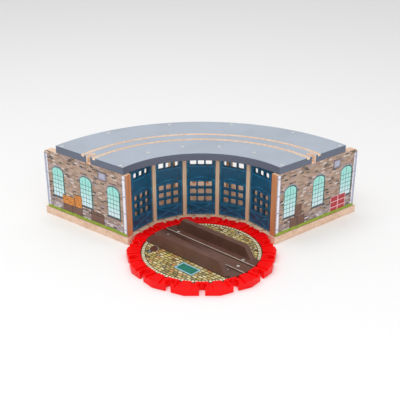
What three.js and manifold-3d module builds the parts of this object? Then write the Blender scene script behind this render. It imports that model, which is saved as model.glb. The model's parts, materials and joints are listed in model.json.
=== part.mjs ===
// A five-bay engine shed with a turntable, for grooved wooden toy track.
// Millimetres, +Z up. The origin is the turntable's centre on the table top. The shed stands
// behind it, on the +Y side, and every bay points at the turntable's centre.
//
// A heading is an angle in radians from +Y, positive towards +X. A piece that belongs to a bay
// or a partition is drawn with +Y along that heading and sits in a group turned to it.

import * as THREE from 'three';
import { mergeVertices } from 'three/addons/utils/BufferGeometryUtils.js';
import Module from 'manifold-3d';

const wasm = await Module();
wasm.setup();

// ---- Driving sizes ----

const PORT_COUNT = 14; // track ports round the turntable
const BAY_COUNT = 5; // bays in the shed, one port each

const FIT_GAP = 0.3; // between pieces that are screwed, glued or pushed together
const RUNNING_GAP = 0.4; // between pieces that move past each other

const TRACK_HEIGHT = 12; // top of every board or rim that a train runs on
const RAIL_GAUGE = 23.5; // between the centres of the two wheel grooves
const WOOD_GROOVE_WIDTH = 5.6;
const MOULDED_GROOVE_WIDTH = 5.2;
const GROOVE_DEPTH = 3;

const KEYHOLE_NECK = 8.2;
const KEYHOLE_RADIUS = 6.5;
const KEYHOLE_DEPTH = 8.5; // from the edge to the centre of the round part

const RING_APOTHEM = 109; // centre to each flat port face
const RING_WELL_RADIUS = 90.5;
const RING_FLOOR = 2.6;

const DISC_STEP = 2.6; // disc top below the running height
const DISC_SIDE_GAP = 0.6; // between the disc and the ring's well
const PIVOT_BOSS_RADIUS = 5;
const PIVOT_WASHER_RADIUS = 8.5;
const PIVOT_WASHER_THICKNESS = 0.8;
const PIVOT_WASHER_DROP = 0.6; // washer below the bridge deck
const PIVOT_STACK_GAP = 0.2; // above and below the washer
const PIVOT_BOSS_RISE = 0.1; // boss above the disc's ledge
const PIVOT_SKIN = 1; // ring floor left under the pivot's hole
const PIVOT_SHANK_RADIUS = 1.5;
const PIVOT_HEAD_RADIUS = 3.5;
const PIVOT_HEAD_HEIGHT = 1.5;

const BRIDGE_HEADING = THREE.MathUtils.degToRad(-47.2); // at rest
const BRIDGE_WIDTH = 68; // over the two girders
const BRIDGE_CHANNEL = 47.4; // between the girders
const BRIDGE_DECK_THICKNESS = 4.5;
const GIRDER_RISE = 18.2; // above the deck
const GIRDER_TOP_LENGTH = 126;
const GIRDER_FOOT_LENGTH = 151;
const GIRDER_DRAFT = 1.3; // how far the outer face leans in
const BRIDGE_SCREW_SPOTS = [ // across and along, the same at both ends
  [-18.3, 65],
  [0, 71],
  [18.3, 65],
];

const BASE_THICKNESS = TRACK_HEIGHT;
const BASE_EDGE_GAP = 1; // between the base's inner edge and the turntable
const BASE_SIDE_LEDGE = 1.5; // base beyond the end walls
const BASE_REAR_LEDGE = 4.3;
const BAY_GROOVE_LENGTH = 140;

const PEG_HEAD_RADIUS = 5.6;
const PEG_NECK_WIDTH = 4.6;
const PEG_HEIGHT = 9;
const PEG_TANG_RADIUS = 3;
const PEG_TANG_LENGTH = 12;

const SHED_CLEAR_HEIGHT = 102.5; // base top to roof underside
const END_WALL_THICKNESS = 12;
const END_WALL_LENGTH = 179.5;
const END_WALL_OFFSET = 40.5; // end bay's axis to the wall's outer face
const END_WALL_SETBACK = 2.5; // wall front behind the port face
const END_WALL_CORNER = 8; // rounded corner at the rear top
const PARTITION_THICKNESS = 6;
const PARTITION_SETBACK = 7.5; // partition front behind the port faces
const PARTITION_REAR_INSET = 2; // partition rear inside the roof's edge
const PARTITION_FRONT_POST = 18; // solid ends of a partition, either side of its opening
const PARTITION_REAR_POST = 35;
const PARTITION_SILL = 8; // base to the opening's lower edge
const PARTITION_HEAD_RAIL = 10; // opening's upper edge to the roof
const PARTITION_OPENING_CORNER = 6;

const ROOF_THICKNESS = 12;
const ROOF_CENTRE = -48; // Y of the centre of the roof's arcs
const ROOF_WIDTH = 145.5; // inner arc to outer arc
const ROOF_OVERHANG = 18.5; // roof in front of the middle door
const ROOF_END_INSET = 0.5; // roof end inside the end wall's face

const DOOR_SETBACK = 7.5; // door front behind the port face
const DOOR_THICKNESS = 5;
const DOOR_SIDE_GAP = 0.4;
const DOOR_TOP_GAP = 1.5;
const DOOR_FLOOR_GAP = 1.5;
const WINDOW_WIDTH = 9.8;
const WINDOW_HEIGHT = 9.4;
const WINDOW_PITCH_X = 12.4;
const WINDOW_PITCH_Z = 12.75;
const WINDOW_CORNER = 1.4;
const TOP_WINDOW_DROP = 10.8; // roof underside to the centre of the top row
const LOWER_WINDOW_DROP = 48.4; // roof underside to the centre of the next row
const LOWER_WINDOW_ROWS = 3;

const HINGE_ROD_RADIUS = 1;
const HINGE_DROP = 4.2; // roof underside to the hinge axis
const HINGE_CLEARANCE = 0.25; // in the door's bore
const HINGE_SOCKET_DEPTH = 2;

const SCREW_HEAD_RADIUS = 3.2;
const SCREW_HEAD_DEPTH = 1.8;
const SCREW_SHANK_RADIUS = 1.4;
const SCREW_GRIP = 12; // thread length beyond the board it holds
const SCREW_SINK = 0.3; // head below the surface
const FRONT_SCREW_SETBACK = 14.5; // behind the front of the wall or partition
const REAR_SCREW_INSET = 9; // in front of the roof's outer edge
const BRIDGE_SCREW_HEAD_RADIUS = 2.4;
const BRIDGE_SCREW_HEAD_DEPTH = 1.4;
const BRIDGE_SCREW_SHANK_RADIUS = 1;
const BRIDGE_SCREW_SKIN = 1.5; // disc left under the screw's tip

// ---- Places that follow from them ----

const PORT_PITCH = (2 * Math.PI) / PORT_COUNT;
const HALF_PITCH = PORT_PITCH / 2;
const END_BAY = ((BAY_COUNT - 1) / 2) * PORT_PITCH; // heading of the right-hand end bay
const BAY_HEADINGS = Array.from({ length: BAY_COUNT }, (_, i) => i * PORT_PITCH - END_BAY);
const PARTITION_HEADINGS = BAY_HEADINGS.slice(1).map((heading) => heading - HALF_PITCH);

const DISC_RADIUS = RING_WELL_RADIUS - DISC_SIDE_GAP;
const DISC_BOTTOM = RING_FLOOR + RUNNING_GAP;
const DISC_TOP = TRACK_HEIGHT - DISC_STEP;
const BRIDGE_BOTTOM = TRACK_HEIGHT - BRIDGE_DECK_THICKNESS;
const PIVOT_WASHER_TOP = BRIDGE_BOTTOM - PIVOT_WASHER_DROP;
const PIVOT_WASHER_BOTTOM = PIVOT_WASHER_TOP - PIVOT_WASHER_THICKNESS;
const PIVOT_BOSS_TOP = PIVOT_WASHER_BOTTOM - PIVOT_STACK_GAP;
const PIVOT_LEDGE_TOP = PIVOT_BOSS_TOP - PIVOT_BOSS_RISE;
const PIVOT_HEAD_BOTTOM = PIVOT_WASHER_TOP + PIVOT_STACK_GAP;
const PIVOT_HEAD_TOP = PIVOT_HEAD_BOTTOM + PIVOT_HEAD_HEIGHT;
const PIVOT_TIP = PIVOT_SKIN + PIVOT_STACK_GAP;

const BASE_INNER = RING_APOTHEM + BASE_EDGE_GAP;
const BASE_SIDE = END_WALL_OFFSET + BASE_SIDE_LEDGE;
const WALL_FRONT = RING_APOTHEM + END_WALL_SETBACK;
const WALL_REAR = WALL_FRONT + END_WALL_LENGTH;
const WALL_INNER = END_WALL_OFFSET - END_WALL_THICKNESS;
const PARTITION_FRONT = RING_APOTHEM + PARTITION_SETBACK;
const ROOF_BOTTOM = BASE_THICKNESS + SHED_CLEAR_HEIGHT;
const ROOF_TOP = ROOF_BOTTOM + ROOF_THICKNESS;

const DOOR_FRONT = RING_APOTHEM + DOOR_SETBACK;
const HINGE_Y = DOOR_FRONT + DOOR_THICKNESS / 2;
const HINGE_Z = ROOF_BOTTOM - HINGE_DROP;
const ROOF_INNER_RADIUS = DOOR_FRONT - ROOF_OVERHANG - ROOF_CENTRE;
const ROOF_OUTER_RADIUS = ROOF_INNER_RADIUS + ROOF_WIDTH;
const ROOF_END_OFFSET = END_WALL_OFFSET - ROOF_END_INSET;

// ---- Solids ----

// Turns a closed geometry into a solid that can be joined and cut.
function solidOf(geometry) {
  const bare = geometry.clone();
  bare.deleteAttribute('normal');
  bare.deleteAttribute('uv');
  const merged = mergeVertices(bare, 1e-5);
  const index = merged.index.array;
  const triangles = [];
  for (let i = 0; i < index.length; i += 3) {
    const [a, b, c] = [index[i], index[i + 1], index[i + 2]];
    if (a !== b && b !== c && c !== a) triangles.push(a, b, c);
  }
  return new wasm.Manifold(new wasm.Mesh({
    numProp: 3,
    vertProperties: new Float32Array(merged.attributes.position.array),
    triVerts: new Uint32Array(triangles),
  }));
}

function geometryOf(solid) {
  const mesh = solid.getMesh();
  const geometry = new THREE.BufferGeometry();
  geometry.setAttribute('position', new THREE.BufferAttribute(new Float32Array(mesh.vertProperties), 3));
  geometry.setIndex(new THREE.BufferAttribute(new Uint32Array(mesh.triVerts), 1));
  geometry.computeVertexNormals();
  return geometry;
}

function join(...geometries) {
  return geometryOf(geometries.map(solidOf).reduce((sum, next) => sum.add(next)));
}

function cut(geometry, cutters) {
  return geometryOf(cutters.map(solidOf).reduce((rest, next) => rest.subtract(next), solidOf(geometry)));
}

function overlapOf(first, second) {
  return geometryOf(solidOf(first).intersect(solidOf(second)));
}

// ---- Drawing helpers ----

function plate(shape, bottom, top, curveSegments = 8) {
  const depth = top - bottom;
  return new THREE.ExtrudeGeometry(shape, { depth, bevelEnabled: false, curveSegments })
    .translate(0, 0, bottom);
}

function block(xRange, yRange, zRange) {
  const size = [xRange, yRange, zRange].map(([low, high]) => high - low);
  const centre = [xRange, yRange, zRange].map(([low, high]) => (high + low) / 2);
  return new THREE.BoxGeometry(...size).translate(...centre);
}

function upright(radius, bottom, top, sides = 16) {
  return new THREE.CylinderGeometry(radius, radius, top - bottom, sides)
    .rotateX(Math.PI / 2)
    .translate(0, 0, (top + bottom) / 2);
}

function crossBar(radius, left, right, y, z, sides = 8) {
  return new THREE.CylinderGeometry(radius, radius, right - left, sides)
    .rotateZ(Math.PI / 2)
    .translate((left + right) / 2, y, z);
}

function turned(geometry, heading) {
  return geometry.clone().rotateZ(-heading);
}

// A point given in a heading's own directions: forward along it, and to its right.
function placeAt(heading, right, forward) {
  return new THREE.Vector2(
    forward * Math.sin(heading) + right * Math.cos(heading),
    forward * Math.cos(heading) - right * Math.sin(heading),
  );
}

// Half the clear width between two partitions, at a distance along their bay's axis.
function bayHalfWidth(forward) {
  return forward * Math.tan(HALF_PITCH) - PARTITION_THICKNESS / 2 / Math.cos(HALF_PITCH);
}

// A female track socket: its mouth is at y = 0, and it runs towards -Y.
function keyhole(bottom, top) {
  const half = KEYHOLE_NECK / 2;
  const meet = Math.acos(half / KEYHOLE_RADIUS);
  const shape = new THREE.Shape();
  shape.moveTo(half, 1);
  shape.lineTo(-half, 1);
  shape.absarc(0, -KEYHOLE_DEPTH, KEYHOLE_RADIUS, Math.PI - meet, 2 * Math.PI + meet, false);
  shape.closePath();
  return plate(shape, bottom, top, 7);
}

// Two straight wheel grooves along +Y, cut down from the running surface.
function straightGrooves(from, to, width) {
  const floor = TRACK_HEIGHT - GROOVE_DEPTH;
  return [-1, 1].map((side) => {
    const middle = (side * RAIL_GAUGE) / 2;
    return block([middle - width / 2, middle + width / 2], [from, to], [floor, TRACK_HEIGHT + 1]);
  });
}

function lathe(outline, sides) {
  const points = outline.map(([radius, height]) => new THREE.Vector2(radius, height));
  return new THREE.LatheGeometry(points, sides).rotateX(Math.PI / 2);
}

// A countersunk screw with its head's top at z = 0 and its tip down.
function screwBody({ headRadius, headDepth, shankRadius, length }) {
  return geometryOf(solidOf(lathe([
    [0, -length],
    [shankRadius * 0.4, -length],
    [shankRadius, -length + 2 * shankRadius],
    [shankRadius, -headDepth],
    [headRadius, -0.3],
    [headRadius, 0],
    [0, 0],
  ], 8)));
}

// The hole that such a screw sits in, open above its head.
function screwHole({ headRadius, headDepth, shankRadius, length }) {
  return lathe([
    [0, -length - FIT_GAP],
    [shankRadius + FIT_GAP, -length - FIT_GAP],
    [shankRadius + FIT_GAP, -headDepth - FIT_GAP],
    [headRadius + FIT_GAP, -0.3 - FIT_GAP],
    [headRadius + FIT_GAP, 4],
    [0, 4],
  ], 8);
}

function screwSpec(throughThickness) {
  return {
    headRadius: SCREW_HEAD_RADIUS,
    headDepth: SCREW_HEAD_DEPTH,
    shankRadius: SCREW_SHANK_RADIUS,
    length: throughThickness - SCREW_SINK + SCREW_GRIP,
  };
}

const ROOF_SCREW = screwSpec(ROOF_THICKNESS);
const FLOOR_SCREW = screwSpec(BASE_THICKNESS);
const BRIDGE_SCREW = {
  headRadius: BRIDGE_SCREW_HEAD_RADIUS,
  headDepth: BRIDGE_SCREW_HEAD_DEPTH,
  shankRadius: BRIDGE_SCREW_SHANK_RADIUS,
  length: TRACK_HEIGHT - SCREW_SINK - DISC_BOTTOM - BRIDGE_SCREW_SKIN,
};

function fromAbove(geometry, x, y) {
  return geometry.clone().translate(x, y, ROOF_TOP - SCREW_SINK);
}

function fromBelow(geometry, x, y) {
  return geometry.clone().rotateX(Math.PI).translate(x, y, SCREW_SINK);
}

// ---- Where the shed's screws stand ----

// Distance from the turntable's centre to the roof's outer edge, along a line on a heading that
// runs at some offset to its right.
function roofEdgeAlong(heading, right) {
  const across = right + ROOF_CENTRE * Math.sin(heading);
  return ROOF_CENTRE * Math.cos(heading) + Math.sqrt(ROOF_OUTER_RADIUS ** 2 - across ** 2);
}

function screwDistances(front, heading, right) {
  return [front + FRONT_SCREW_SETBACK, roofEdgeAlong(heading, right) - REAR_SCREW_INSET];
}

const WALL_MIDDLE = END_WALL_OFFSET - END_WALL_THICKNESS / 2;
const SIDES = [{ name: 'left', sign: -1 }, { name: 'right', sign: 1 }];

// Every screw that goes through the roof, and its twin that goes through the base.
function shedScrewSpots() {
  const onPartitions = PARTITION_HEADINGS.flatMap((heading, i) => (
    screwDistances(PARTITION_FRONT, heading, 0).map((forward, row) => ({
      name: `partition_${i + 1}_${row ? 'rear' : 'front'}`,
      place: placeAt(heading, 0, forward),
    }))
  ));
  const onWalls = SIDES.flatMap(({ name, sign }) => (
    screwDistances(WALL_FRONT, sign * END_BAY, sign * WALL_MIDDLE).map((forward, row) => ({
      name: `${name}_wall_${row ? 'rear' : 'front'}`,
      place: placeAt(sign * END_BAY, sign * WALL_MIDDLE, forward),
    }))
  ));
  return [...onPartitions, ...onWalls];
}

const SCREW_SPOTS = shedScrewSpots();

// ---- Shed ----

function baseOutline() {
  const shape = new THREE.Shape();
  const frontLeft = placeAt(-END_BAY, -BASE_SIDE, BASE_INNER);
  const frontRight = placeAt(END_BAY, BASE_SIDE, BASE_INNER);
  const rearRight = placeAt(END_BAY, BASE_SIDE, WALL_REAR + BASE_REAR_LEDGE);
  const arcStart = Math.atan2(rearRight.y - ROOF_CENTRE, rearRight.x);
  const arcRadius = Math.hypot(rearRight.x, rearRight.y - ROOF_CENTRE);
  shape.moveTo(frontLeft.x, frontLeft.y);
  for (const heading of PARTITION_HEADINGS) {
    const corner = placeAt(heading, 0, BASE_INNER / Math.cos(HALF_PITCH));
    shape.lineTo(corner.x, corner.y);
  }
  shape.lineTo(frontRight.x, frontRight.y);
  shape.absarc(0, ROOF_CENTRE, arcRadius, arcStart, Math.PI - arcStart, false);
  shape.closePath();
  return shape;
}

function pegTangHole(heading) {
  const depth = PEG_TANG_LENGTH + FIT_GAP;
  const hole = new THREE.CylinderGeometry(PEG_TANG_RADIUS + FIT_GAP, PEG_TANG_RADIUS + FIT_GAP, depth + 2, 16)
    .translate(0, BASE_INNER + depth / 2 - 1, BASE_THICKNESS / 2);
  return turned(hole, heading);
}

function shedBase() {
  const grooves = straightGrooves(BASE_INNER - 5, BASE_INNER + BAY_GROOVE_LENGTH, WOOD_GROOVE_WIDTH);
  return cut(plate(baseOutline(), 0, BASE_THICKNESS, 18), [
    ...BAY_HEADINGS.flatMap((heading) => grooves.map((groove) => turned(groove, heading))),
    ...BAY_HEADINGS.map(pegTangHole),
    ...SCREW_SPOTS.map(({ place }) => fromBelow(screwHole(FLOOR_SCREW), place.x, place.y)),
  ]);
}

// A moulded connector: a round head in the turntable's keyhole, on a neck and a round tang that
// is pushed into the base's edge.
function trackPeg() {
  const middle = BASE_THICKNESS / 2;
  const headY = RING_APOTHEM - KEYHOLE_DEPTH;
  const low = middle - PEG_HEIGHT / 2;
  const high = middle + PEG_HEIGHT / 2;
  const head = upright(PEG_HEAD_RADIUS, low, high, 20).translate(0, headY, 0);
  const half = PEG_NECK_WIDTH / 2;
  const neck = block([-half, half], [headY, BASE_INNER - FIT_GAP], [low, high]);
  const tangFrom = BASE_INNER - 2 * FIT_GAP;
  const tangTo = BASE_INNER + PEG_TANG_LENGTH;
  const tang = new THREE.CylinderGeometry(PEG_TANG_RADIUS, PEG_TANG_RADIUS, tangTo - tangFrom, 16)
    .translate(0, (tangFrom + tangTo) / 2, middle);
  return join(head, neck, tang);
}

// The holes in the walls and partitions that belong to one bay's hinge rod, in the bay's frame.
function hingeSocket(left, right) {
  return crossBar(HINGE_ROD_RADIUS + FIT_GAP, left, right, HINGE_Y, HINGE_Z);
}

function endWall(sign) {
  const bottom = BASE_THICKNESS + FIT_GAP;
  const top = ROOF_BOTTOM - FIT_GAP;
  const shape = new THREE.Shape();
  shape.moveTo(WALL_FRONT, bottom);
  shape.lineTo(WALL_REAR, bottom);
  shape.absarc(WALL_REAR - END_WALL_CORNER, top - END_WALL_CORNER, END_WALL_CORNER, 0, Math.PI / 2, false);
  shape.lineTo(WALL_FRONT, top);
  shape.closePath();
  const board = plate(shape, 0, END_WALL_THICKNESS, 4)
    .rotateX(Math.PI / 2)
    .rotateZ(Math.PI / 2)
    .translate(sign > 0 ? WALL_INNER : -END_WALL_OFFSET, 0, 0);
  const middle = sign * WALL_MIDDLE;
  const socketEnd = sign * (WALL_INNER + HINGE_SOCKET_DEPTH + FIT_GAP);
  return cut(board, [
    ...screwDistances(WALL_FRONT, sign * END_BAY, middle).flatMap((forward) => [
      fromAbove(screwHole(ROOF_SCREW), middle, forward),
      fromBelow(screwHole(FLOOR_SCREW), middle, forward),
    ]),
    hingeSocket(Math.min(0, socketEnd), Math.max(0, socketEnd)),
  ]);
}

// The way through a partition, between its two posts, its sill and its head rail.
function partitionOpening(rear) {
  const corner = PARTITION_OPENING_CORNER;
  const quarter = Math.PI / 2;
  const [near, far] = [PARTITION_FRONT + PARTITION_FRONT_POST + corner, rear - PARTITION_REAR_POST - corner];
  const [low, high] = [BASE_THICKNESS + PARTITION_SILL + corner, ROOF_BOTTOM - PARTITION_HEAD_RAIL - corner];
  const shape = new THREE.Shape();
  shape.absarc(far, low, corner, -quarter, 0, false);
  shape.absarc(far, high, corner, 0, quarter, false);
  shape.absarc(near, high, corner, quarter, 2 * quarter, false);
  shape.absarc(near, low, corner, 2 * quarter, 3 * quarter, false);
  shape.closePath();
  return plate(shape, -PARTITION_THICKNESS, PARTITION_THICKNESS, 4).rotateX(quarter).rotateZ(quarter);
}

function partition(heading) {
  const half = PARTITION_THICKNESS / 2;
  const rear = roofEdgeAlong(heading, 0) - PARTITION_REAR_INSET;
  const board = block([-half, half], [PARTITION_FRONT, rear], [BASE_THICKNESS + FIT_GAP, ROOF_BOTTOM - FIT_GAP]);
  const reach = bayHalfWidth(HINGE_Y) + HINGE_SOCKET_DEPTH + FIT_GAP;
  return cut(board, [
    ...screwDistances(PARTITION_FRONT, heading, 0).flatMap((forward) => [
      fromAbove(screwHole(ROOF_SCREW), 0, forward),
      fromBelow(screwHole(FLOOR_SCREW), 0, forward),
    ]),
    turned(hingeSocket(-reach, 0), HALF_PITCH),
    turned(hingeSocket(0, reach), -HALF_PITCH),
    partitionOpening(rear),
  ]);
}

// Heading, seen from the roof's centre, at which an arc of the roof meets the end face.
function roofEndHeading(radius) {
  return END_BAY + Math.asin((ROOF_END_OFFSET + ROOF_CENTRE * Math.sin(END_BAY)) / radius);
}

// A band between two arcs about the roof's centre, out to a heading on each side at each arc.
function arcBand(innerRadius, outerRadius, innerHeading, outerHeading) {
  const quarter = Math.PI / 2;
  const shape = new THREE.Shape();
  shape.absarc(0, ROOF_CENTRE, outerRadius, quarter - outerHeading, quarter + outerHeading, false);
  shape.absarc(0, ROOF_CENTRE, innerRadius, quarter + innerHeading, quarter - innerHeading, true);
  shape.closePath();
  return shape;
}

function roofSocket(sign) {
  const middleRadius = (ROOF_INNER_RADIUS + ROOF_OUTER_RADIUS) / 2;
  const heading = roofEndHeading(middleRadius);
  const place = placeAt(sign * heading, 0, middleRadius);
  return keyhole(ROOF_BOTTOM - 1, ROOF_TOP + 1)
    .rotateZ(-sign * (END_BAY + Math.PI / 2))
    .translate(place.x, place.y + ROOF_CENTRE, 0);
}

function roofGroove(sign) {
  const middle = (ROOF_INNER_RADIUS + ROOF_OUTER_RADIUS + sign * RAIL_GAUGE) / 2;
  const half = WOOD_GROOVE_WIDTH / 2;
  const past = END_BAY + HALF_PITCH;
  return plate(arcBand(middle - half, middle + half, past, past), ROOF_TOP - GROOVE_DEPTH, ROOF_TOP + 1, 18);
}

function roofBoard() {
  const outline = arcBand(
    ROOF_INNER_RADIUS,
    ROOF_OUTER_RADIUS,
    roofEndHeading(ROOF_INNER_RADIUS),
    roofEndHeading(ROOF_OUTER_RADIUS),
  );
  return cut(plate(outline, ROOF_BOTTOM, ROOF_TOP, 18), [
    roofGroove(-1),
    roofGroove(1),
    roofSocket(-1),
    roofSocket(1),
    ...SCREW_SPOTS.map(({ place }) => fromAbove(screwHole(ROOF_SCREW), place.x, place.y)),
  ]);
}

// ---- Doors ----

function windowHole(x, z) {
  const [w, h, r] = [WINDOW_WIDTH / 2, WINDOW_HEIGHT / 2, WINDOW_CORNER];
  const hole = new THREE.Path();
  hole.moveTo(x - w + r, z - h);
  hole.lineTo(x + w - r, z - h);
  hole.lineTo(x + w, z - h + r);
  hole.lineTo(x + w, z + h - r);
  hole.lineTo(x + w - r, z + h);
  hole.lineTo(x - w + r, z + h);
  hole.lineTo(x - w, z + h - r);
  hole.lineTo(x - w, z - h + r);
  hole.closePath();
  return hole;
}

function windowRows() {
  const lower = Array.from({ length: LOWER_WINDOW_ROWS }, (_, i) => LOWER_WINDOW_DROP + i * WINDOW_PITCH_Z);
  return [TOP_WINDOW_DROP, ...lower].map((drop) => ROOF_BOTTOM - drop);
}

function doorLeaf() {
  const half = bayHalfWidth(DOOR_FRONT) - DOOR_SIDE_GAP;
  const bottom = BASE_THICKNESS + DOOR_FLOOR_GAP;
  const top = ROOF_BOTTOM - DOOR_TOP_GAP;
  const shape = new THREE.Shape();
  shape.moveTo(-half, bottom);
  shape.lineTo(half, bottom);
  shape.lineTo(half, top);
  shape.lineTo(-half, top);
  shape.closePath();
  for (const z of windowRows()) {
    for (const column of [-1, 0, 1]) shape.holes.push(windowHole(column * WINDOW_PITCH_X, z));
  }
  const leaf = plate(shape, 0, DOOR_THICKNESS)
    .rotateX(Math.PI / 2)
    .translate(0, DOOR_FRONT + DOOR_THICKNESS, 0);
  const bore = crossBar(HINGE_ROD_RADIUS + HINGE_CLEARANCE, -half - 1, half + 1, HINGE_Y, HINGE_Z);
  return cut(leaf, [bore]);
}

// The rod runs from socket to socket; an end bay has its wall on one side.
function hingeRod(bay) {
  const toPartition = bayHalfWidth(HINGE_Y) + HINGE_SOCKET_DEPTH;
  const toWall = WALL_INNER + HINGE_SOCKET_DEPTH;
  const left = bay === 0 ? toWall : toPartition;
  const right = bay === BAY_COUNT - 1 ? toWall : toPartition;
  return crossBar(HINGE_ROD_RADIUS, -left, right, HINGE_Y, HINGE_Z);
}

// ---- Turntable ----

function ringOutline() {
  const shape = new THREE.Shape();
  for (let port = 0; port < PORT_COUNT; port += 1) {
    const corner = placeAt(HALF_PITCH - port * PORT_PITCH, 0, RING_APOTHEM / Math.cos(HALF_PITCH));
    if (port === 0) shape.moveTo(corner.x, corner.y);
    else shape.lineTo(corner.x, corner.y);
  }
  shape.closePath();
  const well = new THREE.Path();
  well.absarc(0, 0, RING_WELL_RADIUS, 0, 2 * Math.PI, true);
  shape.holes.push(well);
  return shape;
}

function turntableRing() {
  const rim = plate(ringOutline(), 0, TRACK_HEIGHT, 32);
  const floor = upright(RING_WELL_RADIUS + 1, 0, RING_FLOOR, 48);
  const boss = upright(PIVOT_BOSS_RADIUS, PIVOT_SKIN, PIVOT_BOSS_TOP);
  const port = [
    keyhole(-1, TRACK_HEIGHT + 1).translate(0, RING_APOTHEM, 0),
    ...straightGrooves(RING_WELL_RADIUS - 5, RING_APOTHEM + 5, MOULDED_GROOVE_WIDTH),
  ];
  const ports = Array.from({ length: PORT_COUNT }, (_, i) => i * PORT_PITCH)
    .flatMap((heading) => port.map((cutter) => turned(cutter, heading)));
  const pilot = upright(PIVOT_SHANK_RADIUS + FIT_GAP, PIVOT_SKIN, PIVOT_BOSS_TOP + 1);
  return cut(join(rim, floor, boss), [...ports, pilot]);
}

function bridgeScrewSpots() {
  return [1, -1].flatMap((end) => BRIDGE_SCREW_SPOTS.map(([x, y]) => [x, end * y]));
}

function bridgeScrewAt(geometry, [x, y]) {
  return geometry.clone().translate(x, y, TRACK_HEIGHT - SCREW_SINK);
}

function turntableDisc() {
  const half = BRIDGE_WIDTH / 2 + FIT_GAP;
  return cut(upright(DISC_RADIUS, DISC_BOTTOM, DISC_TOP, 64), [
    upright(PIVOT_BOSS_RADIUS + RUNNING_GAP, 0, DISC_TOP + 1),
    upright(PIVOT_WASHER_RADIUS + RUNNING_GAP, PIVOT_LEDGE_TOP, DISC_TOP + 1),
    block([-half, half], [-DISC_RADIUS - 5, DISC_RADIUS + 5], [BRIDGE_BOTTOM - FIT_GAP, DISC_TOP + 1]),
    ...bridgeScrewSpots().map((spot) => bridgeScrewAt(screwHole(BRIDGE_SCREW), spot)),
  ]);
}

function pivotWasher() {
  const [bottom, top] = [PIVOT_WASHER_BOTTOM, PIVOT_WASHER_TOP];
  return cut(upright(PIVOT_WASHER_RADIUS, bottom, top), [
    upright(PIVOT_SHANK_RADIUS + FIT_GAP, bottom - 1, top + 1),
  ]);
}

function pivotScrew() {
  return geometryOf(solidOf(lathe([
    [0, PIVOT_TIP],
    [PIVOT_SHANK_RADIUS, PIVOT_TIP],
    [PIVOT_SHANK_RADIUS, PIVOT_HEAD_BOTTOM],
    [PIVOT_HEAD_RADIUS, PIVOT_HEAD_BOTTOM],
    [PIVOT_HEAD_RADIUS, PIVOT_HEAD_TOP - 0.5],
    [PIVOT_HEAD_RADIUS - 0.9, PIVOT_HEAD_TOP],
    [0, PIVOT_HEAD_TOP],
  ], 16)));
}

function deckOutline() {
  const half = BRIDGE_WIDTH / 2;
  const angle = Math.acos(half / DISC_RADIUS);
  const shape = new THREE.Shape();
  shape.absarc(0, 0, DISC_RADIUS, angle, Math.PI - angle, false);
  shape.absarc(0, 0, DISC_RADIUS, Math.PI + angle, 2 * Math.PI - angle, false);
  shape.closePath();
  return shape;
}

// One girder: a leaning outer face along its length, cut to sloping ends.
function girder(sign) {
  const [inner, outer] = [BRIDGE_CHANNEL / 2, BRIDGE_WIDTH / 2];
  const [foot, top] = [TRACK_HEIGHT - 1, TRACK_HEIGHT + GIRDER_RISE];
  const section = new THREE.Shape([
    new THREE.Vector2(inner, foot),
    new THREE.Vector2(outer, foot),
    new THREE.Vector2(outer - GIRDER_DRAFT, top),
    new THREE.Vector2(inner, top),
  ]);
  const bar = plate(section, -GIRDER_FOOT_LENGTH, GIRDER_FOOT_LENGTH).rotateX(Math.PI / 2);
  const side = new THREE.Shape([
    new THREE.Vector2(-GIRDER_FOOT_LENGTH / 2, foot),
    new THREE.Vector2(GIRDER_FOOT_LENGTH / 2, foot),
    new THREE.Vector2(GIRDER_TOP_LENGTH / 2, top),
    new THREE.Vector2(-GIRDER_TOP_LENGTH / 2, top),
  ]);
  const profile = plate(side, inner - 5, outer + 5).rotateX(Math.PI / 2).rotateZ(Math.PI / 2);
  const right = overlapOf(bar, profile);
  return sign > 0 ? right : right.rotateZ(Math.PI);
}

function turntableBridge() {
  const deck = plate(deckOutline(), BRIDGE_BOTTOM, TRACK_HEIGHT, 12);
  return cut(join(deck, girder(1), girder(-1)), [
    ...straightGrooves(-DISC_RADIUS - 5, DISC_RADIUS + 5, MOULDED_GROOVE_WIDTH),
    upright(PIVOT_HEAD_RADIUS + 1, BRIDGE_BOTTOM - 1, PIVOT_HEAD_TOP + FIT_GAP),
    ...bridgeScrewSpots().map((spot) => bridgeScrewAt(screwHole(BRIDGE_SCREW), spot)),
  ]);
}

// ---- Finishes ----

function finish(colour, roughness, metalness = 0) {
  return { color: new THREE.Color(colour), roughness, metalness };
}

const FINISHES = {
  beech: finish('#d9b28a', 0.6),
  printedWall: finish('#b39a86', 0.45),
  partitionWood: finish('#dcc09c', 0.6),
  roofPaint: finish('#b2bcc8', 0.4),
  doorPlastic: finish('#14505f', 0.35),
  redPlastic: finish('#f01818', 0.3),
  printedDisc: finish('#cdb486', 0.45),
  brownPlastic: finish('#4a3431', 0.4),
  steel: finish('#b8bcc0', 0.3, 1),
  nylon: finish('#e8e6de', 0.5),
};

// ---- Assembly ----

const trainShed = new THREE.Group();

function addPiece(parent, name, geometry, look) {
  const mesh = new THREE.Mesh(geometry, new THREE.MeshStandardMaterial(FINISHES[look]));
  mesh.name = name;
  parent.add(mesh);
  return mesh;
}

function groupAt(heading) {
  const group = new THREE.Group();
  group.rotation.z = -heading;
  trainShed.add(group);
  return group;
}

addPiece(trainShed, 'shed_base', shedBase(), 'beech');
addPiece(trainShed, 'roof_board', roofBoard(), 'roofPaint');

const [door, peg] = [doorLeaf(), trackPeg()];
BAY_HEADINGS.forEach((heading, bay) => {
  const group = groupAt(heading);
  addPiece(group, `track_peg_${bay + 1}`, peg, 'redPlastic');
  addPiece(group, `door_${bay + 1}`, door, 'doorPlastic');
  addPiece(group, `hinge_rod_${bay + 1}`, hingeRod(bay), 'steel');
});

PARTITION_HEADINGS.forEach((heading, i) => {
  addPiece(groupAt(heading), `partition_${i + 1}`, partition(heading), 'partitionWood');
});

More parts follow.
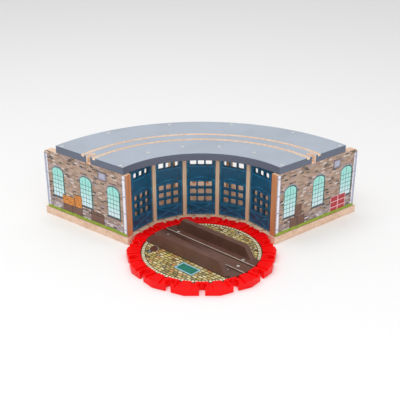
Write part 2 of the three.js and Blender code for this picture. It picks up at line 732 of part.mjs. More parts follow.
for (const { name, sign } of SIDES) {
  addPiece(groupAt(sign * END_BAY), `${name}_end_wall`, endWall(sign), 'printedWall');
}

const [roofScrew, floorScrew] = [screwBody(ROOF_SCREW), screwBody(FLOOR_SCREW)];
for (const { name, place } of SCREW_SPOTS) {
  addPiece(trainShed, `roof_screw_${name}`, roofScrew, 'steel')
    .position.set(place.x, place.y, ROOF_TOP - SCREW_SINK);
  const lower = addPiece(trainShed, `floor_screw_${name}`, floorScrew, 'steel');
  lower.rotation.x = Math.PI;
  lower.position.set(place.x, place.y, SCREW_SINK);
}

addPiece(trainShed, 'turntable_ring', turntableRing(), 'redPlastic');

const bridgeGroup = groupAt(BRIDGE_HEADING);
addPiece(bridgeGroup, 'turntable_disc', turntableDisc(), 'printedDisc');
addPiece(bridgeGroup, 'turntable_bridge', turntableBridge(), 'brownPlastic');
addPiece(bridgeGroup, 'pivot_washer', pivotWasher(), 'nylon');
addPiece(bridgeGroup, 'pivot_screw', pivotScrew(), 'steel');
const bridgeScrew = screwBody(BRIDGE_SCREW);
bridgeScrewSpots().forEach(([x, y], i) => {
  addPiece(bridgeGroup, `bridge_screw_${i + 1}`, bridgeScrew, 'steel')
    .position.set(x, y, TRACK_HEIGHT - SCREW_SINK);
});

export default trainShed;
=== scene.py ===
"""A wooden toy engine shed with five bays, and the turntable that feeds them.

Every piece is drawn in millimetres in its own frame: +X to its right, +Y forward along its
heading, +Z up. A heading is an angle from +Y, positive towards +X. The "local" attribute of each
mesh keeps those millimetres, and the materials draw their grain and print from it.
"""

import json
import math
import random

import bmesh
import bpy
from bpy.props import FloatProperty, FloatVectorProperty, IntProperty, PointerProperty
from mathutils import Matrix, Vector


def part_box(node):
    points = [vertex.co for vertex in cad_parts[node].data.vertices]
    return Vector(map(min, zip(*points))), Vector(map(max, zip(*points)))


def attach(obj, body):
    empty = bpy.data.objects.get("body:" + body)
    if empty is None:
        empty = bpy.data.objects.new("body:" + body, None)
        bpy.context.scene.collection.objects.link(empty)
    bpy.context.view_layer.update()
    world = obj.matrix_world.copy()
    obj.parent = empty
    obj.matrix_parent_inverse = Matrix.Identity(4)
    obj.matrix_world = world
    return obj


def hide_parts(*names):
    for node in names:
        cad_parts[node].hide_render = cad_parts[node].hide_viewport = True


bl_info = {
    "name": "Toy Engine Shed With Turntable",
    "version": (1, 0, 0),
    "blender": (4, 5, 0),
    "location": "3D View > Sidebar > Engine Shed",
    "description": "Builds a five-bay wooden engine shed and its turntable round their CAD frame",
    "category": "Add Mesh",
}

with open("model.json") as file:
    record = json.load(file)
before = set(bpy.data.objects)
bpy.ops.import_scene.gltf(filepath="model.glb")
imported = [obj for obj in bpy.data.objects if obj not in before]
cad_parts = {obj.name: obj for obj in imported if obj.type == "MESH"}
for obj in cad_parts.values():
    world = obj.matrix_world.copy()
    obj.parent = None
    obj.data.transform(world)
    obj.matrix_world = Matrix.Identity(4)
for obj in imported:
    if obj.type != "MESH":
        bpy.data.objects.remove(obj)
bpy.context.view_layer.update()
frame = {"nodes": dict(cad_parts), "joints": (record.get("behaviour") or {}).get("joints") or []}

MM = 0.001


def box_mm(node):
    low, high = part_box(node)
    return low / MM, high / MM


# ---- Sizes taken from the frame, in millimetres ----

ROOF_LOW, ROOF_HIGH = box_mm("roof_board")
_, RING_HIGH = box_mm("turntable_ring")
DISC_LOW, DISC_HIGH = box_mm("turntable_disc")
BRIDGE_LOW, BRIDGE_HIGH = box_mm("turntable_bridge")

HINGES = {j["child"]: j for j in frame["joints"] if j["name"].startswith("door_")}
BAYS = sorted(HINGES)
HEADINGS = [
    math.atan2(-HINGES[bay]["axis"][1], HINGES[bay]["axis"][0]) for bay in BAYS
]
PITCH = HEADINGS[1] - HEADINGS[0]
HALF_PITCH = PITCH / 2
PORT_COUNT = round(2 * math.pi / PITCH)
END_BAY = HEADINGS[-1]
PARTITION_HEADINGS = [heading + HALF_PITCH for heading in HEADINGS[:-1]]
BRIDGE_HEADING = math.radians(-47.2)

TRACK_TOP = RING_HIGH.z
ROOF_BOTTOM, ROOF_TOP = ROOF_LOW.z, ROOF_HIGH.z
FIT_GAP = 0.3
RAIL_GAUGE = 23.5
GROOVE_DEPTH = 3
WOOD_GROOVE = 5.6
MOULDED_GROOVE = 5.2
RING_APOTHEM = RING_HIGH.y
WELL_RADIUS = 90.5
RING_FLOOR = 2.6
DISC_RADIUS = 89.9
DISC_BOTTOM, DISC_TOP = DISC_LOW.z, DISC_HIGH.z
DECK_BOTTOM = BRIDGE_LOW.z
GIRDER_TOP = BRIDGE_HIGH.z
BRIDGE_HALF = 34
CHANNEL_HALF = 23.7
GIRDER_LEAN = 1.3
GIRDER_TOP_HALF = 63
GIRDER_FOOT_HALF = 75.5

BASE_INNER = RING_APOTHEM + 1
BASE_SIDE = 42
BASE_BEHIND_WALLS = 4.3
KEYHOLE_DEPTH = 8.5
PEG_HEIGHT = 6
WALL_FRONT = RING_APOTHEM + 2.5
WALL_REAR = WALL_FRONT + 179.5
WALL_OUTER = 40.5
WALL_INNER = 28.5
WALL_CORNER = 8
WALL_BOTTOM = TRACK_TOP + FIT_GAP
WALL_TOP = ROOF_BOTTOM - FIT_GAP
PARTITION_HALF = 3
PARTITION_FRONT = RING_APOTHEM + 7.5
PARTITION_FRONT_POST = 18
PARTITION_REAR_POST = 35
PARTITION_SILL = 8
PARTITION_HEAD_RAIL = 10
PARTITION_CORNER = 6
ROOF_CENTRE = -48
ROOF_INNER = 146
ROOF_OUTER = 291.5
ROOF_END = 40

DOOR_FRONT = PARTITION_FRONT
DOOR_THICKNESS = 5
DOOR_BOTTOM = TRACK_TOP + 1.5
DOOR_TOP = ROOF_BOTTOM - 1.5
HINGE_Y = DOOR_FRONT + DOOR_THICKNESS / 2
HINGE_Z = ROOF_BOTTOM - 4.2
HINGE_ROD = 1.0
HINGE_SOCKET = 1.3
HINGE_SOCKET_DEPTH = 2.3
WINDOW = (9.8, 9.4, 1.4)
WINDOW_COLUMNS = (-12.4, 0, 12.4)
WINDOW_ROWS = tuple(ROOF_BOTTOM - drop for drop in (10.8, 48.4, 61.15, 73.9))

SCREW_SINK = 0.3
ROOF_SCREW = {"head": 3.2, "depth": 1.8, "shank": 1.4, "length": 23.7}
BRIDGE_SCREW = {"head": 2.4, "depth": 1.4, "shank": 1.0, "length": 7.2}
BRIDGE_SCREW_SPOTS = [(-18.3, 65), (0, 71), (18.3, 65), (-18.3, -65), (0, -71), (18.3, -65)]


# ---- Drawing ----


def facing(heading):
    """Places a piece drawn in its own frame on a heading."""
    return Matrix.Rotation(-heading, 4, "Z")


def place_at(heading, right, forward):
    return (
        forward * math.sin(heading) + right * math.cos(heading),
        forward * math.cos(heading) - right * math.sin(heading),
    )


def bay_half(forward):
    """Half the clear width of a bay at a distance from the turntable's centre."""
    return forward * math.tan(HALF_PITCH) - PARTITION_HALF / math.cos(HALF_PITCH)


def arc(centre, radius, start, end, steps):
    """Points on an arc, from the start angle to the end angle, both counted from +X."""
    return [
        (
            centre[0] + radius * math.cos(start + (end - start) * i / steps),
            centre[1] + radius * math.sin(start + (end - start) * i / steps),
        )
        for i in range(steps + 1)
    ]


def circle(radius, steps, centre=(0, 0)):
    return arc(centre, radius, 0, 2 * math.pi, steps)[:-1]


def rectangle(left, right, low, high):
    return [(left, low), (right, low), (right, high), (left, high)]


def strip(start, end, width):
    """A straight bar of a given width from one point to another."""
    (a, b), (c, d) = start, end
    length = math.hypot(c - a, d - b)
    u, v = -(d - b) / length * width / 2, (c - a) / length * width / 2
    return [(a - u, b - v), (c - u, d - v), (c + u, d + v), (a + u, b + v)]


def rounded_rectangle(left, right, low, high, radius, steps=4):
    quarter = math.pi / 2
    corners = [
        (right - radius, low + radius, -quarter),
        (right - radius, high - radius, 0),
        (left + radius, high - radius, quarter),
        (left + radius, low + radius, 2 * quarter),
    ]
    return [
        point
        for x, y, start in corners
        for point in arc((x, y), radius, start, start + quarter, steps)
    ]


UPRIGHT = Matrix.Identity(4)  # outline in X and Y, thickness along Z
ACROSS = Matrix(((0, 0, 1, 0), (1, 0, 0, 0), (0, 1, 0, 0), (0, 0, 0, 1)))  # outline in Y and Z
PEG_LIE = Matrix.Translation((0, 0, PEG_HEIGHT)) @ Matrix.Rotation(math.pi / 2, 4, "Z")
THROUGH = Matrix(((1, 0, 0, 0), (0, 0, 1, 0), (0, 1, 0, 0), (0, 0, 0, 1)))  # outline in X and Z


def plate(outline, low, high, holes=(), lie=UPRIGHT, top=None):
    """A flat board with a given outline, as a mesh. A top outline makes its sides slope."""
    bm = bmesh.new()
    loops = []
    for loop in (outline, *holes):
        loops.append([bm.verts.new((x, y, low)) for x, y in loop])
    if holes:
        edges = [
            bm.edges.new((loop[i - 1], loop[i])) for loop in loops for i in range(len(loop))
        ]
        bmesh.ops.triangle_fill(bm, use_beauty=True, edges=edges)
        bmesh.ops.dissolve_limit(
            bm, angle_limit=0.01, verts=bm.verts[:], edges=bm.edges[:], use_dissolve_boundaries=False
        )
    else:
        bm.faces.new(loops[0])
    raised = bmesh.ops.extrude_face_region(bm, geom=bm.faces[:])["geom"]
    raised = [item for item in raised if isinstance(item, bmesh.types.BMVert)]
    bmesh.ops.translate(bm, verts=raised, vec=(0, 0, high - low))
    if top is not None:
        for vert in raised:
            nearest = min(
                range(len(outline)),
                key=lambda i: (vert.co.x - outline[i][0]) ** 2 + (vert.co.y - outline[i][1]) ** 2,
            )
            vert.co.x, vert.co.y = top[nearest]
    bmesh.ops.transform(bm, matrix=lie, verts=bm.verts)
    bmesh.ops.recalc_face_normals(bm, faces=bm.faces)
    mesh = bpy.data.meshes.new("plate")
    bm.to_mesh(mesh)
    bm.free()
    return mesh


def turned_solid(profile, steps):
    """A round solid from (radius, height) points that start and end on the axis."""
    bm = bmesh.new()
    rings = []
    for radius, height in profile:
        if radius == 0:
            rings.append([bm.verts.new((0, 0, height))])
        else:
            rings.append([bm.verts.new((x, y, height)) for x, y in circle(radius, steps)])
    for lower, upper in zip(rings, rings[1:]):
        for i in range(steps):
            j = (i + 1) % steps
            if len(lower) == 1:
                bm.faces.new((lower[0], upper[i], upper[j]))
            elif len(upper) == 1:
                bm.faces.new((lower[i], upper[0], lower[j]))
            else:
                bm.faces.new((lower[i], upper[i], upper[j], lower[j]))
    bmesh.ops.recalc_face_normals(bm, faces=bm.faces)
    mesh = bpy.data.meshes.new("turned")
    bm.to_mesh(mesh)
    bm.free()
    return mesh


def moved(mesh, matrix):
    copy = mesh.copy()
    copy.transform(matrix)
    return copy


def shifted(mesh, x=0, y=0, z=0):
    return moved(mesh, Matrix.Translation((x, y, z)))


def rod(radius, left, right, y, z, steps=20):
    shape = turned_solid([(0, left), (radius, left), (radius, right), (0, right)], steps)
    return moved(shape, Matrix.Translation((0, y, z)) @ Matrix.Rotation(math.pi / 2, 4, "Y"))


def merged(meshes):
    """Several meshes as one, with the material numbers that their faces have."""
    bm = bmesh.new()
    for mesh in meshes:
        bm.from_mesh(mesh)
    bmesh.ops.recalc_face_normals(bm, faces=bm.faces)
    mesh = bpy.data.meshes.new("merged")
    bm.to_mesh(mesh)
    bm.free()
    return mesh


def draft(mesh):
    obj = bpy.data.objects.new("draft", mesh)
    bpy.context.scene.collection.objects.link(obj)
    return obj


def applied(obj):
    """The object's mesh with its modifiers in it. The object goes."""
    depsgraph = bpy.context.evaluated_depsgraph_get()
    mesh = bpy.data.meshes.new_from_object(obj.evaluated_get(depsgraph), depsgraph=depsgraph)
    bpy.data.objects.remove(obj)
    return mesh


def carve(mesh, cutters, operation="DIFFERENCE"):
    """The mesh with the cutters taken out of it, and its flat faces whole again."""
    body, tool = draft(mesh), draft(merged(cutters))
    boolean = body.modifiers.new("carve", "BOOLEAN")
    boolean.operation = operation
    boolean.solver = "EXACT"
    boolean.use_self = True
    boolean.object = tool
    result = applied(body)
    bpy.data.objects.remove(tool)
    bm = bmesh.new()
    bm.from_mesh(result)
    bmesh.ops.remove_doubles(bm, verts=bm.verts, dist=1e-4)
    bmesh.ops.dissolve_limit(bm, angle_limit=math.radians(0.2), verts=bm.verts[:], edges=bm.edges[:])
    bm.to_mesh(result)
    bm.free()
    return result


def shaded(mesh, angle=50):
    mesh.shade_smooth()
    mesh.set_sharp_from_angle(angle=math.radians(angle))
    return mesh


def softened(mesh, width, segments=2, angle=35):
    """The mesh with its sharp edges rounded and its flat faces shaded flat."""
    obj = draft(mesh)
    bevel = obj.modifiers.new("edges", "BEVEL")
    bevel.width = width
    bevel.segments = segments
    bevel.limit_method = "ANGLE"
    bevel.angle_limit = math.radians(angle)
    bevel.use_clamp_overlap = False
    bevel.miter_outer = "MITER_ARC"
    obj = draft(shaded(applied(obj)))
    weighted = obj.modifiers.new("normals", "WEIGHTED_NORMAL")
    weighted.keep_sharp = True
    return applied(obj)


def tinted(mesh, number):
    for polygon in mesh.polygons:
        polygon.material_index = number
    return mesh


def settle(name, mesh, materials, body, nodes, placement=UPRIGHT, choose=None):
    """Makes a finished piece: its materials, its own millimetres, its place and its body."""
    if choose is not None:
        for polygon in mesh.polygons:
            polygon.material_index = choose(polygon.center, polygon.normal)
    numbers = [polygon.material_index for polygon in mesh.polygons]
    mesh.materials.clear()
    for material in materials:
        mesh.materials.append(material)
    mesh.polygons.foreach_set("material_index", numbers)
    flat = [value for vertex in mesh.vertices for value in vertex.co]
    local = mesh.attributes.new("local", "FLOAT_VECTOR", "POINT")
    local.data.foreach_set("vector", flat)
    mesh.transform(Matrix.Scale(MM, 4) @ placement)
    mesh.name = name
    obj = bpy.data.objects.new(name, mesh)
    bpy.context.scene.collection.objects.link(obj)
    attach(obj, body)
    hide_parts(*nodes)
    return obj


# ---- Materials ----


def paint(red, green, blue):
    """A colour as paint makers give it, from 0 to 255, in the renderer's own units."""
    return tuple(
        (c / 255) / 12.92 if c <= 10 else ((c / 255 + 0.055) / 1.055) ** 2.4
        for c in (red, green, blue)
    ) + (1.0,)


def toned(colour, factor, lift=0.0):
    """A colour made lighter or darker by a factor."""
    return tuple(min(1.0, c * factor + lift) for c in colour[:3]) + (1.0,)


class Recipe:
    """One material's nodes."""

    def __init__(self, name, roughness=0.5, **sockets):
        self.material = bpy.data.materials.new(name)
        self.material.use_nodes = True
        self.tree = self.material.node_tree
        self.tree.nodes.clear()
        self.shader = self.tree.nodes.new("ShaderNodeBsdfPrincipled")
        output = self.tree.nodes.new("ShaderNodeOutputMaterial")
        self.tree.links.new(self.shader.outputs["BSDF"], output.inputs["Surface"])
        self.shader.inputs["Roughness"].default_value = roughness
        for socket, value in sockets.items():
            self.shader.inputs[socket.replace("_", " ")].default_value = value

    def put(self, socket, value):
        if isinstance(value, bpy.types.NodeSocket):
            self.tree.links.new(value, socket)
        else:
            socket.default_value = value

    def node(self, kind, out=0, settings=None, **inputs):
        made = self.tree.nodes.new(kind)
        for key, value in (settings or {}).items():
            setattr(made, key, value)
        for key, value in inputs.items():
            socket = made.inputs[int(key[1:])] if key[0] == "i" and key[1:].isdigit() else made.inputs[key]
            self.put(socket, value)
        return made.outputs[out]

    def local(self):
        return self.node("ShaderNodeAttribute", "Vector", {"attribute_name": "local"})

    def math(self, operation, a, b=0.0, clamp=False):
        return self.node(
            "ShaderNodeMath", 0, {"operation": operation, "use_clamp": clamp}, i0=a, i1=b
        )

    def add(self, a, b):
        return self.math("ADD", a, b)

    def times(self, a, b):
        return self.math("MULTIPLY", a, b)

    def split(self, vector):
        made = self.tree.nodes.new("ShaderNodeSeparateXYZ")
        self.put(made.inputs[0], vector)
        return made.outputs[0], made.outputs[1], made.outputs[2]

    def join(self, x, y, z=0.0):
        return self.node("ShaderNodeCombineXYZ", 0, i0=x, i1=y, i2=z)

    def stretch(self, vector, x, y, z):
        return self.node("ShaderNodeMapping", 0, i0=vector, i3=(x, y, z))

    def noise(self, vector, scale, detail=3.0, roughness=0.55, distortion=0.0):
        return self.node(
            "ShaderNodeTexNoise", "Fac",
            Vector=vector, Scale=scale, Detail=detail, Roughness=roughness, Distortion=distortion,
        )

    def chance(self, vector):
        return self.node("ShaderNodeTexWhiteNoise", "Value", {"noise_dimensions": "3D"}, Vector=vector)

    def ramp(self, value, stops, steps=False):
        made = self.tree.nodes.new("ShaderNodeValToRGB")
        made.color_ramp.interpolation = "CONSTANT" if steps else "LINEAR"
        elements = made.color_ramp.elements
        elements[0].position, elements[0].color = stops[0]
        elements[1].position, elements[1].color = stops[-1]
        for position, colour in stops[1:-1]:
            elements.new(position).color = colour
        self.put(made.inputs[0], value)
        return made.outputs[0]

    def mix(self, factor, first, second, blend="MIX"):
        made = self.tree.nodes.new("ShaderNodeMix")
        made.data_type = "RGBA"
        made.blend_type = blend
        made.clamp_factor = True
        self.put(made.inputs[0], factor)
        self.put(made.inputs[6], first)
        self.put(made.inputs[7], second)
        return made.outputs[2]

    def spread(self, value, low, high, to_low=0.0, to_high=1.0):
        return self.node(
            "ShaderNodeMapRange", 0, {"clamp": True}, i0=value, i1=low, i2=high, i3=to_low, i4=to_high
        )

    def bump(self, height, strength, distance=0.0001):
        normal = self.node("ShaderNodeBump", 0, Height=height, Strength=strength, Distance=distance)
        self.put(self.shader.inputs["Normal"], normal)

    def finish(self, colour, roughness=None):
        self.put(self.shader.inputs["Base Color"], colour)
        if roughness is not None:
            self.put(self.shader.inputs["Roughness"], roughness)
        return self.material


def wood(name, pale, dark, stretch, seed=0.0, roughness=0.58):
    """Close-grained beech: long growth streaks, fine pores and short ray flecks."""
    r = Recipe(name, roughness)
    place = r.node("ShaderNodeVectorMath", 0, {"operation": "ADD"}, i0=r.local(), i1=(seed, seed, seed))
    along = r.stretch(place, *stretch)
    streaks = r.noise(along, 0.22, 4.0, 0.6, 0.4)
    pores = r.noise(along, 1.6, 2.0, 0.7)
    clouds = r.noise(place, 0.02, 2.0)
    flecks = r.node("ShaderNodeTexVoronoi", "Distance", Vector=r.stretch(along, 3.0, 3.0, 3.0), Scale=0.35)
    tone = r.add(r.times(streaks, 0.75), r.times(clouds, 0.35))
    between = tuple((a + b) / 2 for a, b in zip(pale, dark))
    colour = r.ramp(tone, [(0.36, dark), (0.52, between), (0.68, pale)])
    fleck = r.spread(flecks, 0.10, 0.02)
    colour = r.mix(r.times(fleck, 0.22), colour, toned(dark, 0.45))
    colour = r.mix(r.spread(pores, 0.62, 0.75, 0.0, 0.2), colour, toned(dark, 0.6))
    r.bump(r.add(r.times(streaks, 0.5), pores), 0.25, 0.00012)
    return r.finish(colour, r.spread(streaks, 0.3, 0.7, roughness - 0.06, roughness + 0.08))


def painted_board(name, colour, scale):
    """Sprayed paint on sanded wood: faint grain, a little dust, and rubbed spots."""
    r = Recipe(name, 0.42)
    place = r.local()
    grain = r.noise(r.stretch(place, 1.0, 0.06, 1.0), 0.9, 4.0, 0.6)
    orange_peel = r.noise(place, 1.3, 2.0)
    clouds = r.noise(place, scale, 3.0)
    light = toned(colour, 1.05)
    deep = toned(colour, 0.95)
    shade = r.mix(r.spread(clouds, 0.35, 0.65), deep, light)
    shade = r.mix(r.spread(grain, 0.60, 0.80, 0.0, 0.35), shade, toned(colour, 0.82))
    wear_and_highlight = r.spread(r.noise(r.stretch(place, 0.4, 1.0, 1.0), 0.35, 5.0, 0.7), 0.70, 0.78, 0.0, 0.35)
    shade = r.mix(wear_and_highlight, shade, paint(216, 214, 210))
    r.bump(r.add(grain, r.times(orange_peel, 0.4)), 0.18, 0.00008)
    return r.finish(shade, r.spread(clouds, 0.3, 0.7, 0.36, 0.50))


def moulded(name, colour, roughness=0.3, depth=0.15, spread=0.08, gloss=0.5):
    """Injection-moulded plastic: faint flow marks, fine texture and handling scratches."""
    r = Recipe(name, roughness, Specular_IOR_Level=gloss)
    place = r.local()
    flow = r.noise(place, 0.05, 3.0, 0.5, 0.8)
    texture = r.noise(place, 2.4, 3.0, 0.6)
    scratches = r.noise(r.stretch(place, 0.05, 1.0, 1.0), 1.8, 2.0, 0.8, 0.3)
    light = toned(colour, 1 + spread)
    deep = toned(colour, 1 - spread)
    shade = r.mix(r.spread(flow, 0.35, 0.65), deep, light)
    r.bump(r.add(texture, r.times(scratches, 0.5)), depth, 0.00005)
    wear = r.spread(scratches, 0.62, 0.78, 0.0, 0.14)
    return r.finish(shade, r.add(r.spread(flow, 0.3, 0.7, roughness - 0.04, roughness + 0.06), wear))


def metal(name, colour, roughness=0.3, metallic=1.0):
    r = Recipe(name, roughness, Metallic=metallic)
    place = r.local()
    swirl = r.noise(r.stretch(place, 1.0, 1.0, 0.1), 3.0, 3.0)
    spots = r.noise(place, 1.2, 4.0)
    shade = r.mix(r.spread(spots, 0.4, 0.7), colour, toned(colour, 0.72))
    r.bump(swirl, 0.12, 0.00003)
    return r.finish(shade, r.spread(swirl, 0.3, 0.7, roughness - 0.06, roughness + 0.14))


def print_film(name, colour, scale=0.4, spread=0.14, roughness=0.4):
    """Ink on a smooth film, with a slight mottle and the grain of the board under it."""
    r = Recipe(name, roughness)
    place = r.local()
    mottle = r.noise(place, scale, 4.0, 0.65)
    dots = r.noise(place, 3.2, 1.0)
    light = toned(colour, 1 + spread)
    deep = toned(colour, 1 - spread)
    shade = r.mix(r.spread(mottle, 0.34, 0.66), deep, light)
    shade = r.mix(r.spread(dots, 0.58, 0.72, 0.0, 0.12), shade, paint(250, 248, 240))
    r.bump(dots, 0.06, 0.00003)
    return r.finish(shade, r.spread(mottle, 0.3, 0.7, roughness - 0.05, roughness + 0.08))


def courses(r, across, up, length, height, joint, wobble):
    """Stones laid in rows. Returns a random number for each stone and 1 where there is a stone."""
    drift = r.times(r.math("SUBTRACT", r.noise(r.join(across, up), 0.35, 2.0), 0.5), wobble)
    up = r.add(up, drift)
    across = r.add(across, drift)
    row = r.math("FLOOR", r.math("DIVIDE", up, height))
    slide = r.times(r.chance(r.join(row, 3.7, 1.3)), length)
    column_place = r.math("DIVIDE", r.add(across, slide), length)
    column = r.math("FLOOR", column_place)
    inside_across = r.times(r.math("PINGPONG", column_place, 0.5), length)
    inside_up = r.times(r.math("PINGPONG", r.math("DIVIDE", up, height), 0.5), height)
    # PINGPONG reaches 0 at every whole number, so both are distances to the nearest joint.
    edge = r.node(
        "ShaderNodeMath", 0, {"operation": "SMOOTH_MIN"}, i0=inside_across, i1=inside_up, i2=joint * 2
    )
    stone = r.spread(edge, joint * 0.35, joint * 0.9)
    return r.chance(r.join(row, column, 0.5)), r.chance(r.join(row, column, 7.5)), stone


def brick_print(name, seed):
    """The printed brickwork of the end walls: mixed bricks above, greyer stones low down."""
    r = Recipe(name, 0.42)
    place = r.local()
    _, along, up = r.split(place)
    along = r.add(along, seed)
    pick, second, stone = courses(r, along, up, 7.8, 2.8, 0.36, 1.4)
    brick = r.ramp(pick, [
        (0.00, paint(162, 128, 102)), (0.20, paint(186, 152, 128)), (0.36, paint(142, 106, 88)),
        (0.50, paint(196, 162, 144)), (0.62, paint(168, 130, 114)), (0.72, paint(222, 208, 196)),
        (0.79, paint(160, 146, 154)), (0.83, paint(30, 20, 24)), (0.94, paint(186, 164, 144)),
    ], steps=True)
    low_stone = r.ramp(pick, [
        (0.00, paint(162, 150, 160)), (0.25, paint(142, 118, 112)), (0.45, paint(194, 182, 190)),
        (0.62, paint(130, 108, 106)), (0.76, paint(218, 206, 212)), (0.88, paint(48, 34, 40)),
    ], steps=True)
    lowness = r.spread(r.add(up, r.times(r.noise(place, 0.05), 22.0)), 44.0, 34.0)
    colour = r.mix(lowness, brick, low_stone)
    shade = r.noise(place, 1.1, 3.0, 0.7)
    colour = r.mix(r.spread(shade, 0.4, 0.75, 0.0, 0.28), colour, paint(112, 84, 72))
    colour = r.mix(r.times(second, 0.09), colour, paint(240, 226, 210))
    mortar = r.mix(r.noise(place, 0.3), paint(140, 120, 108), paint(190, 176, 164))
    colour = r.mix(stone, mortar, colour)
    r.bump(r.add(r.times(stone, 0.6), r.times(shade, 0.3)), 0.12, 0.00006)
    return r.finish(colour, r.spread(shade, 0.3, 0.7, 0.38, 0.50))


def cobble_print(name):
    """The printed paving of the disc, in rows along the bridge, with a ring of edge stones."""
    r = Recipe(name, 0.4)
    place = r.local()
    x, y, _ = r.split(place)
    pick, second, stone = courses(r, y, x, 8.4, 4.9, 0.95, 2.2)
    cobble = r.ramp(pick, [
        (0.00, paint(226, 204, 132)), (0.22, paint(198, 166, 88)), (0.40, paint(240, 224, 172)),
        (0.54, paint(190, 172, 96)), (0.66, paint(214, 150, 84)), (0.76, paint(146, 132, 78)),
        (0.86, paint(230, 208, 112)), (0.94, paint(132, 84, 54)),
    ], steps=True)
    shade = r.noise(place, 0.9, 4.0, 0.7)
    cobble = r.mix(r.spread(shade, 0.45, 0.8, 0.0, 0.35), cobble, paint(120, 96, 52))
    cobble = r.mix(r.times(second, 0.22), cobble, paint(246, 236, 200))
    gap = r.mix(r.noise(place, 0.25), paint(38, 34, 20), paint(72, 64, 32))
    paving = r.mix(stone, gap, cobble)
    radius = r.math("SQRT", r.add(r.times(x, x), r.times(y, y)))
    turn = r.times(r.math("ARCTAN2", y, x), 110 / (2 * math.pi))
    tick = r.spread(r.math("PINGPONG", turn, 0.5), 0.10, 0.17)
    edging = r.mix(
        r.chance(r.join(r.math("FLOOR", turn), 2.0, 4.0)), paint(226, 220, 176), paint(248, 242, 212)
    )
    edging = r.mix(tick, paint(74, 66, 44), edging)
    border = r.spread(radius, 84.4, 84.7)
    outline = r.times(r.spread(radius, 83.2, 83.5), r.math("SUBTRACT", 1.0, border))
    colour = r.mix(border, paving, edging)
    colour = r.mix(outline, colour, paint(66, 58, 40))
    # Darker at the disc's rim, from 88.9 mm outwards: painted shade in the gap beside the ring's wall.
    colour = r.mix(r.spread(radius, 88.9, 89.3), colour, paint(70, 62, 44))
    r.bump(r.add(r.times(stone, 0.7), r.times(shade, 0.3)), 0.15, 0.00008)
    return r.finish(colour, r.spread(shade, 0.3, 0.7, 0.34, 0.48))


def grass_print(name):
    r = Recipe(name, 0.5)
    place = r.local()
    blades = r.noise(r.stretch(place, 1.0, 1.0, 0.3), 1.6, 4.0, 0.7)
    patches = r.noise(place, 0.12, 2.0)
    colour = r.ramp(blades, [
        (0.30, paint(96, 128, 20)), (0.48, paint(142, 170, 34)), (0.62, paint(178, 196, 60)),
    ])
    colour = r.mix(r.spread(patches, 0.4, 0.65, 0.0, 0.5), colour, paint(112, 146, 22))
    r.bump(blades, 0.1, 0.00005)
    return r.finish(colour)


def glass_print(name):
    """Printed window panes: pale mint at the sill, bluer and lighter towards the arch."""
    r = Recipe(name, 0.32)
    place = r.local()
    _, _, up = r.split(place)
    lift = r.spread(up, 38.0, 90.0)
    mottle = r.noise(r.stretch(place, 1.0, 0.5, 1.0), 0.18, 3.0)
    colour = r.ramp(r.add(r.times(lift, 0.7), r.times(mottle, 0.4)), [
        (0.15, paint(228, 242, 252)), (0.45, paint(198, 240, 240)), (0.75, paint(162, 232, 222)),
        (1.00, paint(152, 226, 214)),
    ])
    r.bump(mottle, 0.04, 0.00003)
    return r.finish(colour, r.spread(mottle, 0.3, 0.7, 0.26, 0.38))


MATERIALS = {}


def stock(name, make, *values):
    """Makes a material, or the screws' node tree, once."""
    if name not in MATERIALS:
        MATERIALS[name] = make(name, *values)
    return MATERIALS[name]


def beech(direction):
    stretch = {"across": (0.05, 1.0, 1.0), "up": (1.0, 1.0, 0.05)}[direction]
    return stock(f"beech_{direction}", wood, paint(246, 214, 190), paint(220, 178, 146), stretch)


# Browner beech for the end walls' front edges: painted shade on these faces.
def edge_shade_wood():
    return stock("warm_edge_wood", wood, paint(224, 158, 112), paint(186, 118, 76), (1.0, 1.0, 0.05), 31.0)


# Bare beech for the roof's grooves, sockets and underside, paler than the other beech: painted light in the
# grooves.
def groove_wood():
    return stock("groove_wood", wood, paint(252, 234, 216), paint(232, 204, 178), (1.0, 0.05, 1.0), 43.0)


def slat_wood():
    return stock("partition_wood", wood, paint(244, 220, 190), paint(214, 180, 148), (1.0, 1.0, 0.05), 17.0)


def bright_steel():
    return stock("bright_steel", metal, paint(196, 198, 202), 0.3)


def red_plastic(sizes):
    return stock("red_plastic", moulded, tuple(sizes.ring_colour), 0.34, 0.10, 0.05, 0.22)


# ---- Sizes and colours that a user would change ----


def millimetres(name, text, default, low, high):
    words = f"{text}, in millimetres"
    return FloatProperty(name=name, description=words, default=default, min=low, max=high)


def paint_choice(name, text, red, green, blue):
    return FloatVectorProperty(
        name=name, description=text, subtype="COLOR", size=4, default=paint(red, green, blue), min=0, max=1
    )


class ShedSizes(bpy.types.PropertyGroup):
    board_edge: millimetres("Board edge", "Rounding of the wooden boards' edges", 0.5, 0.1, 2.0)
    moulded_edge: millimetres("Moulded edge", "Rounding of the plastic pieces' edges", 0.6, 0.1, 1.5)
    girder_edge: millimetres("Girder edge", "Rounding of the bridge's edges", 0.6, 0.1, 1.0)
    plank_pitch: millimetres("Plank pitch", "Width of a door plank", 4.2, 2.0, 10.0)
    brace_height: millimetres("Brace height", "How far the door braces stand out", 0.5, 0.1, 1.0)
    print_height: millimetres("Print height", "Thickness of the printed film", 0.04, 0.02, 0.3)
    screw_seed: IntProperty(
        name="Screw seed", description="Sets which way each screw's cross is turned", default=5, min=0
    )
    roof_colour: paint_choice("Roof colour", "Paint of the roof", 172, 182, 195)
    # The roof edge colour is darker than the roof: partly the edges' own paint, partly painted shade on the
    # side faces.
    roof_edge_colour: paint_choice("Roof edge colour", "Paint on the roof's edges", 98, 106, 124)
    door_colour: paint_choice("Door colour", "Plastic of the doors", 2, 86, 120)
    ring_colour: paint_choice("Ring colour", "Plastic of the turntable's ring and of the pegs", 255, 0, 0)
    bridge_colour: paint_choice("Bridge colour", "Plastic of the bridge", 104, 72, 60)


# ---- Cutters ----


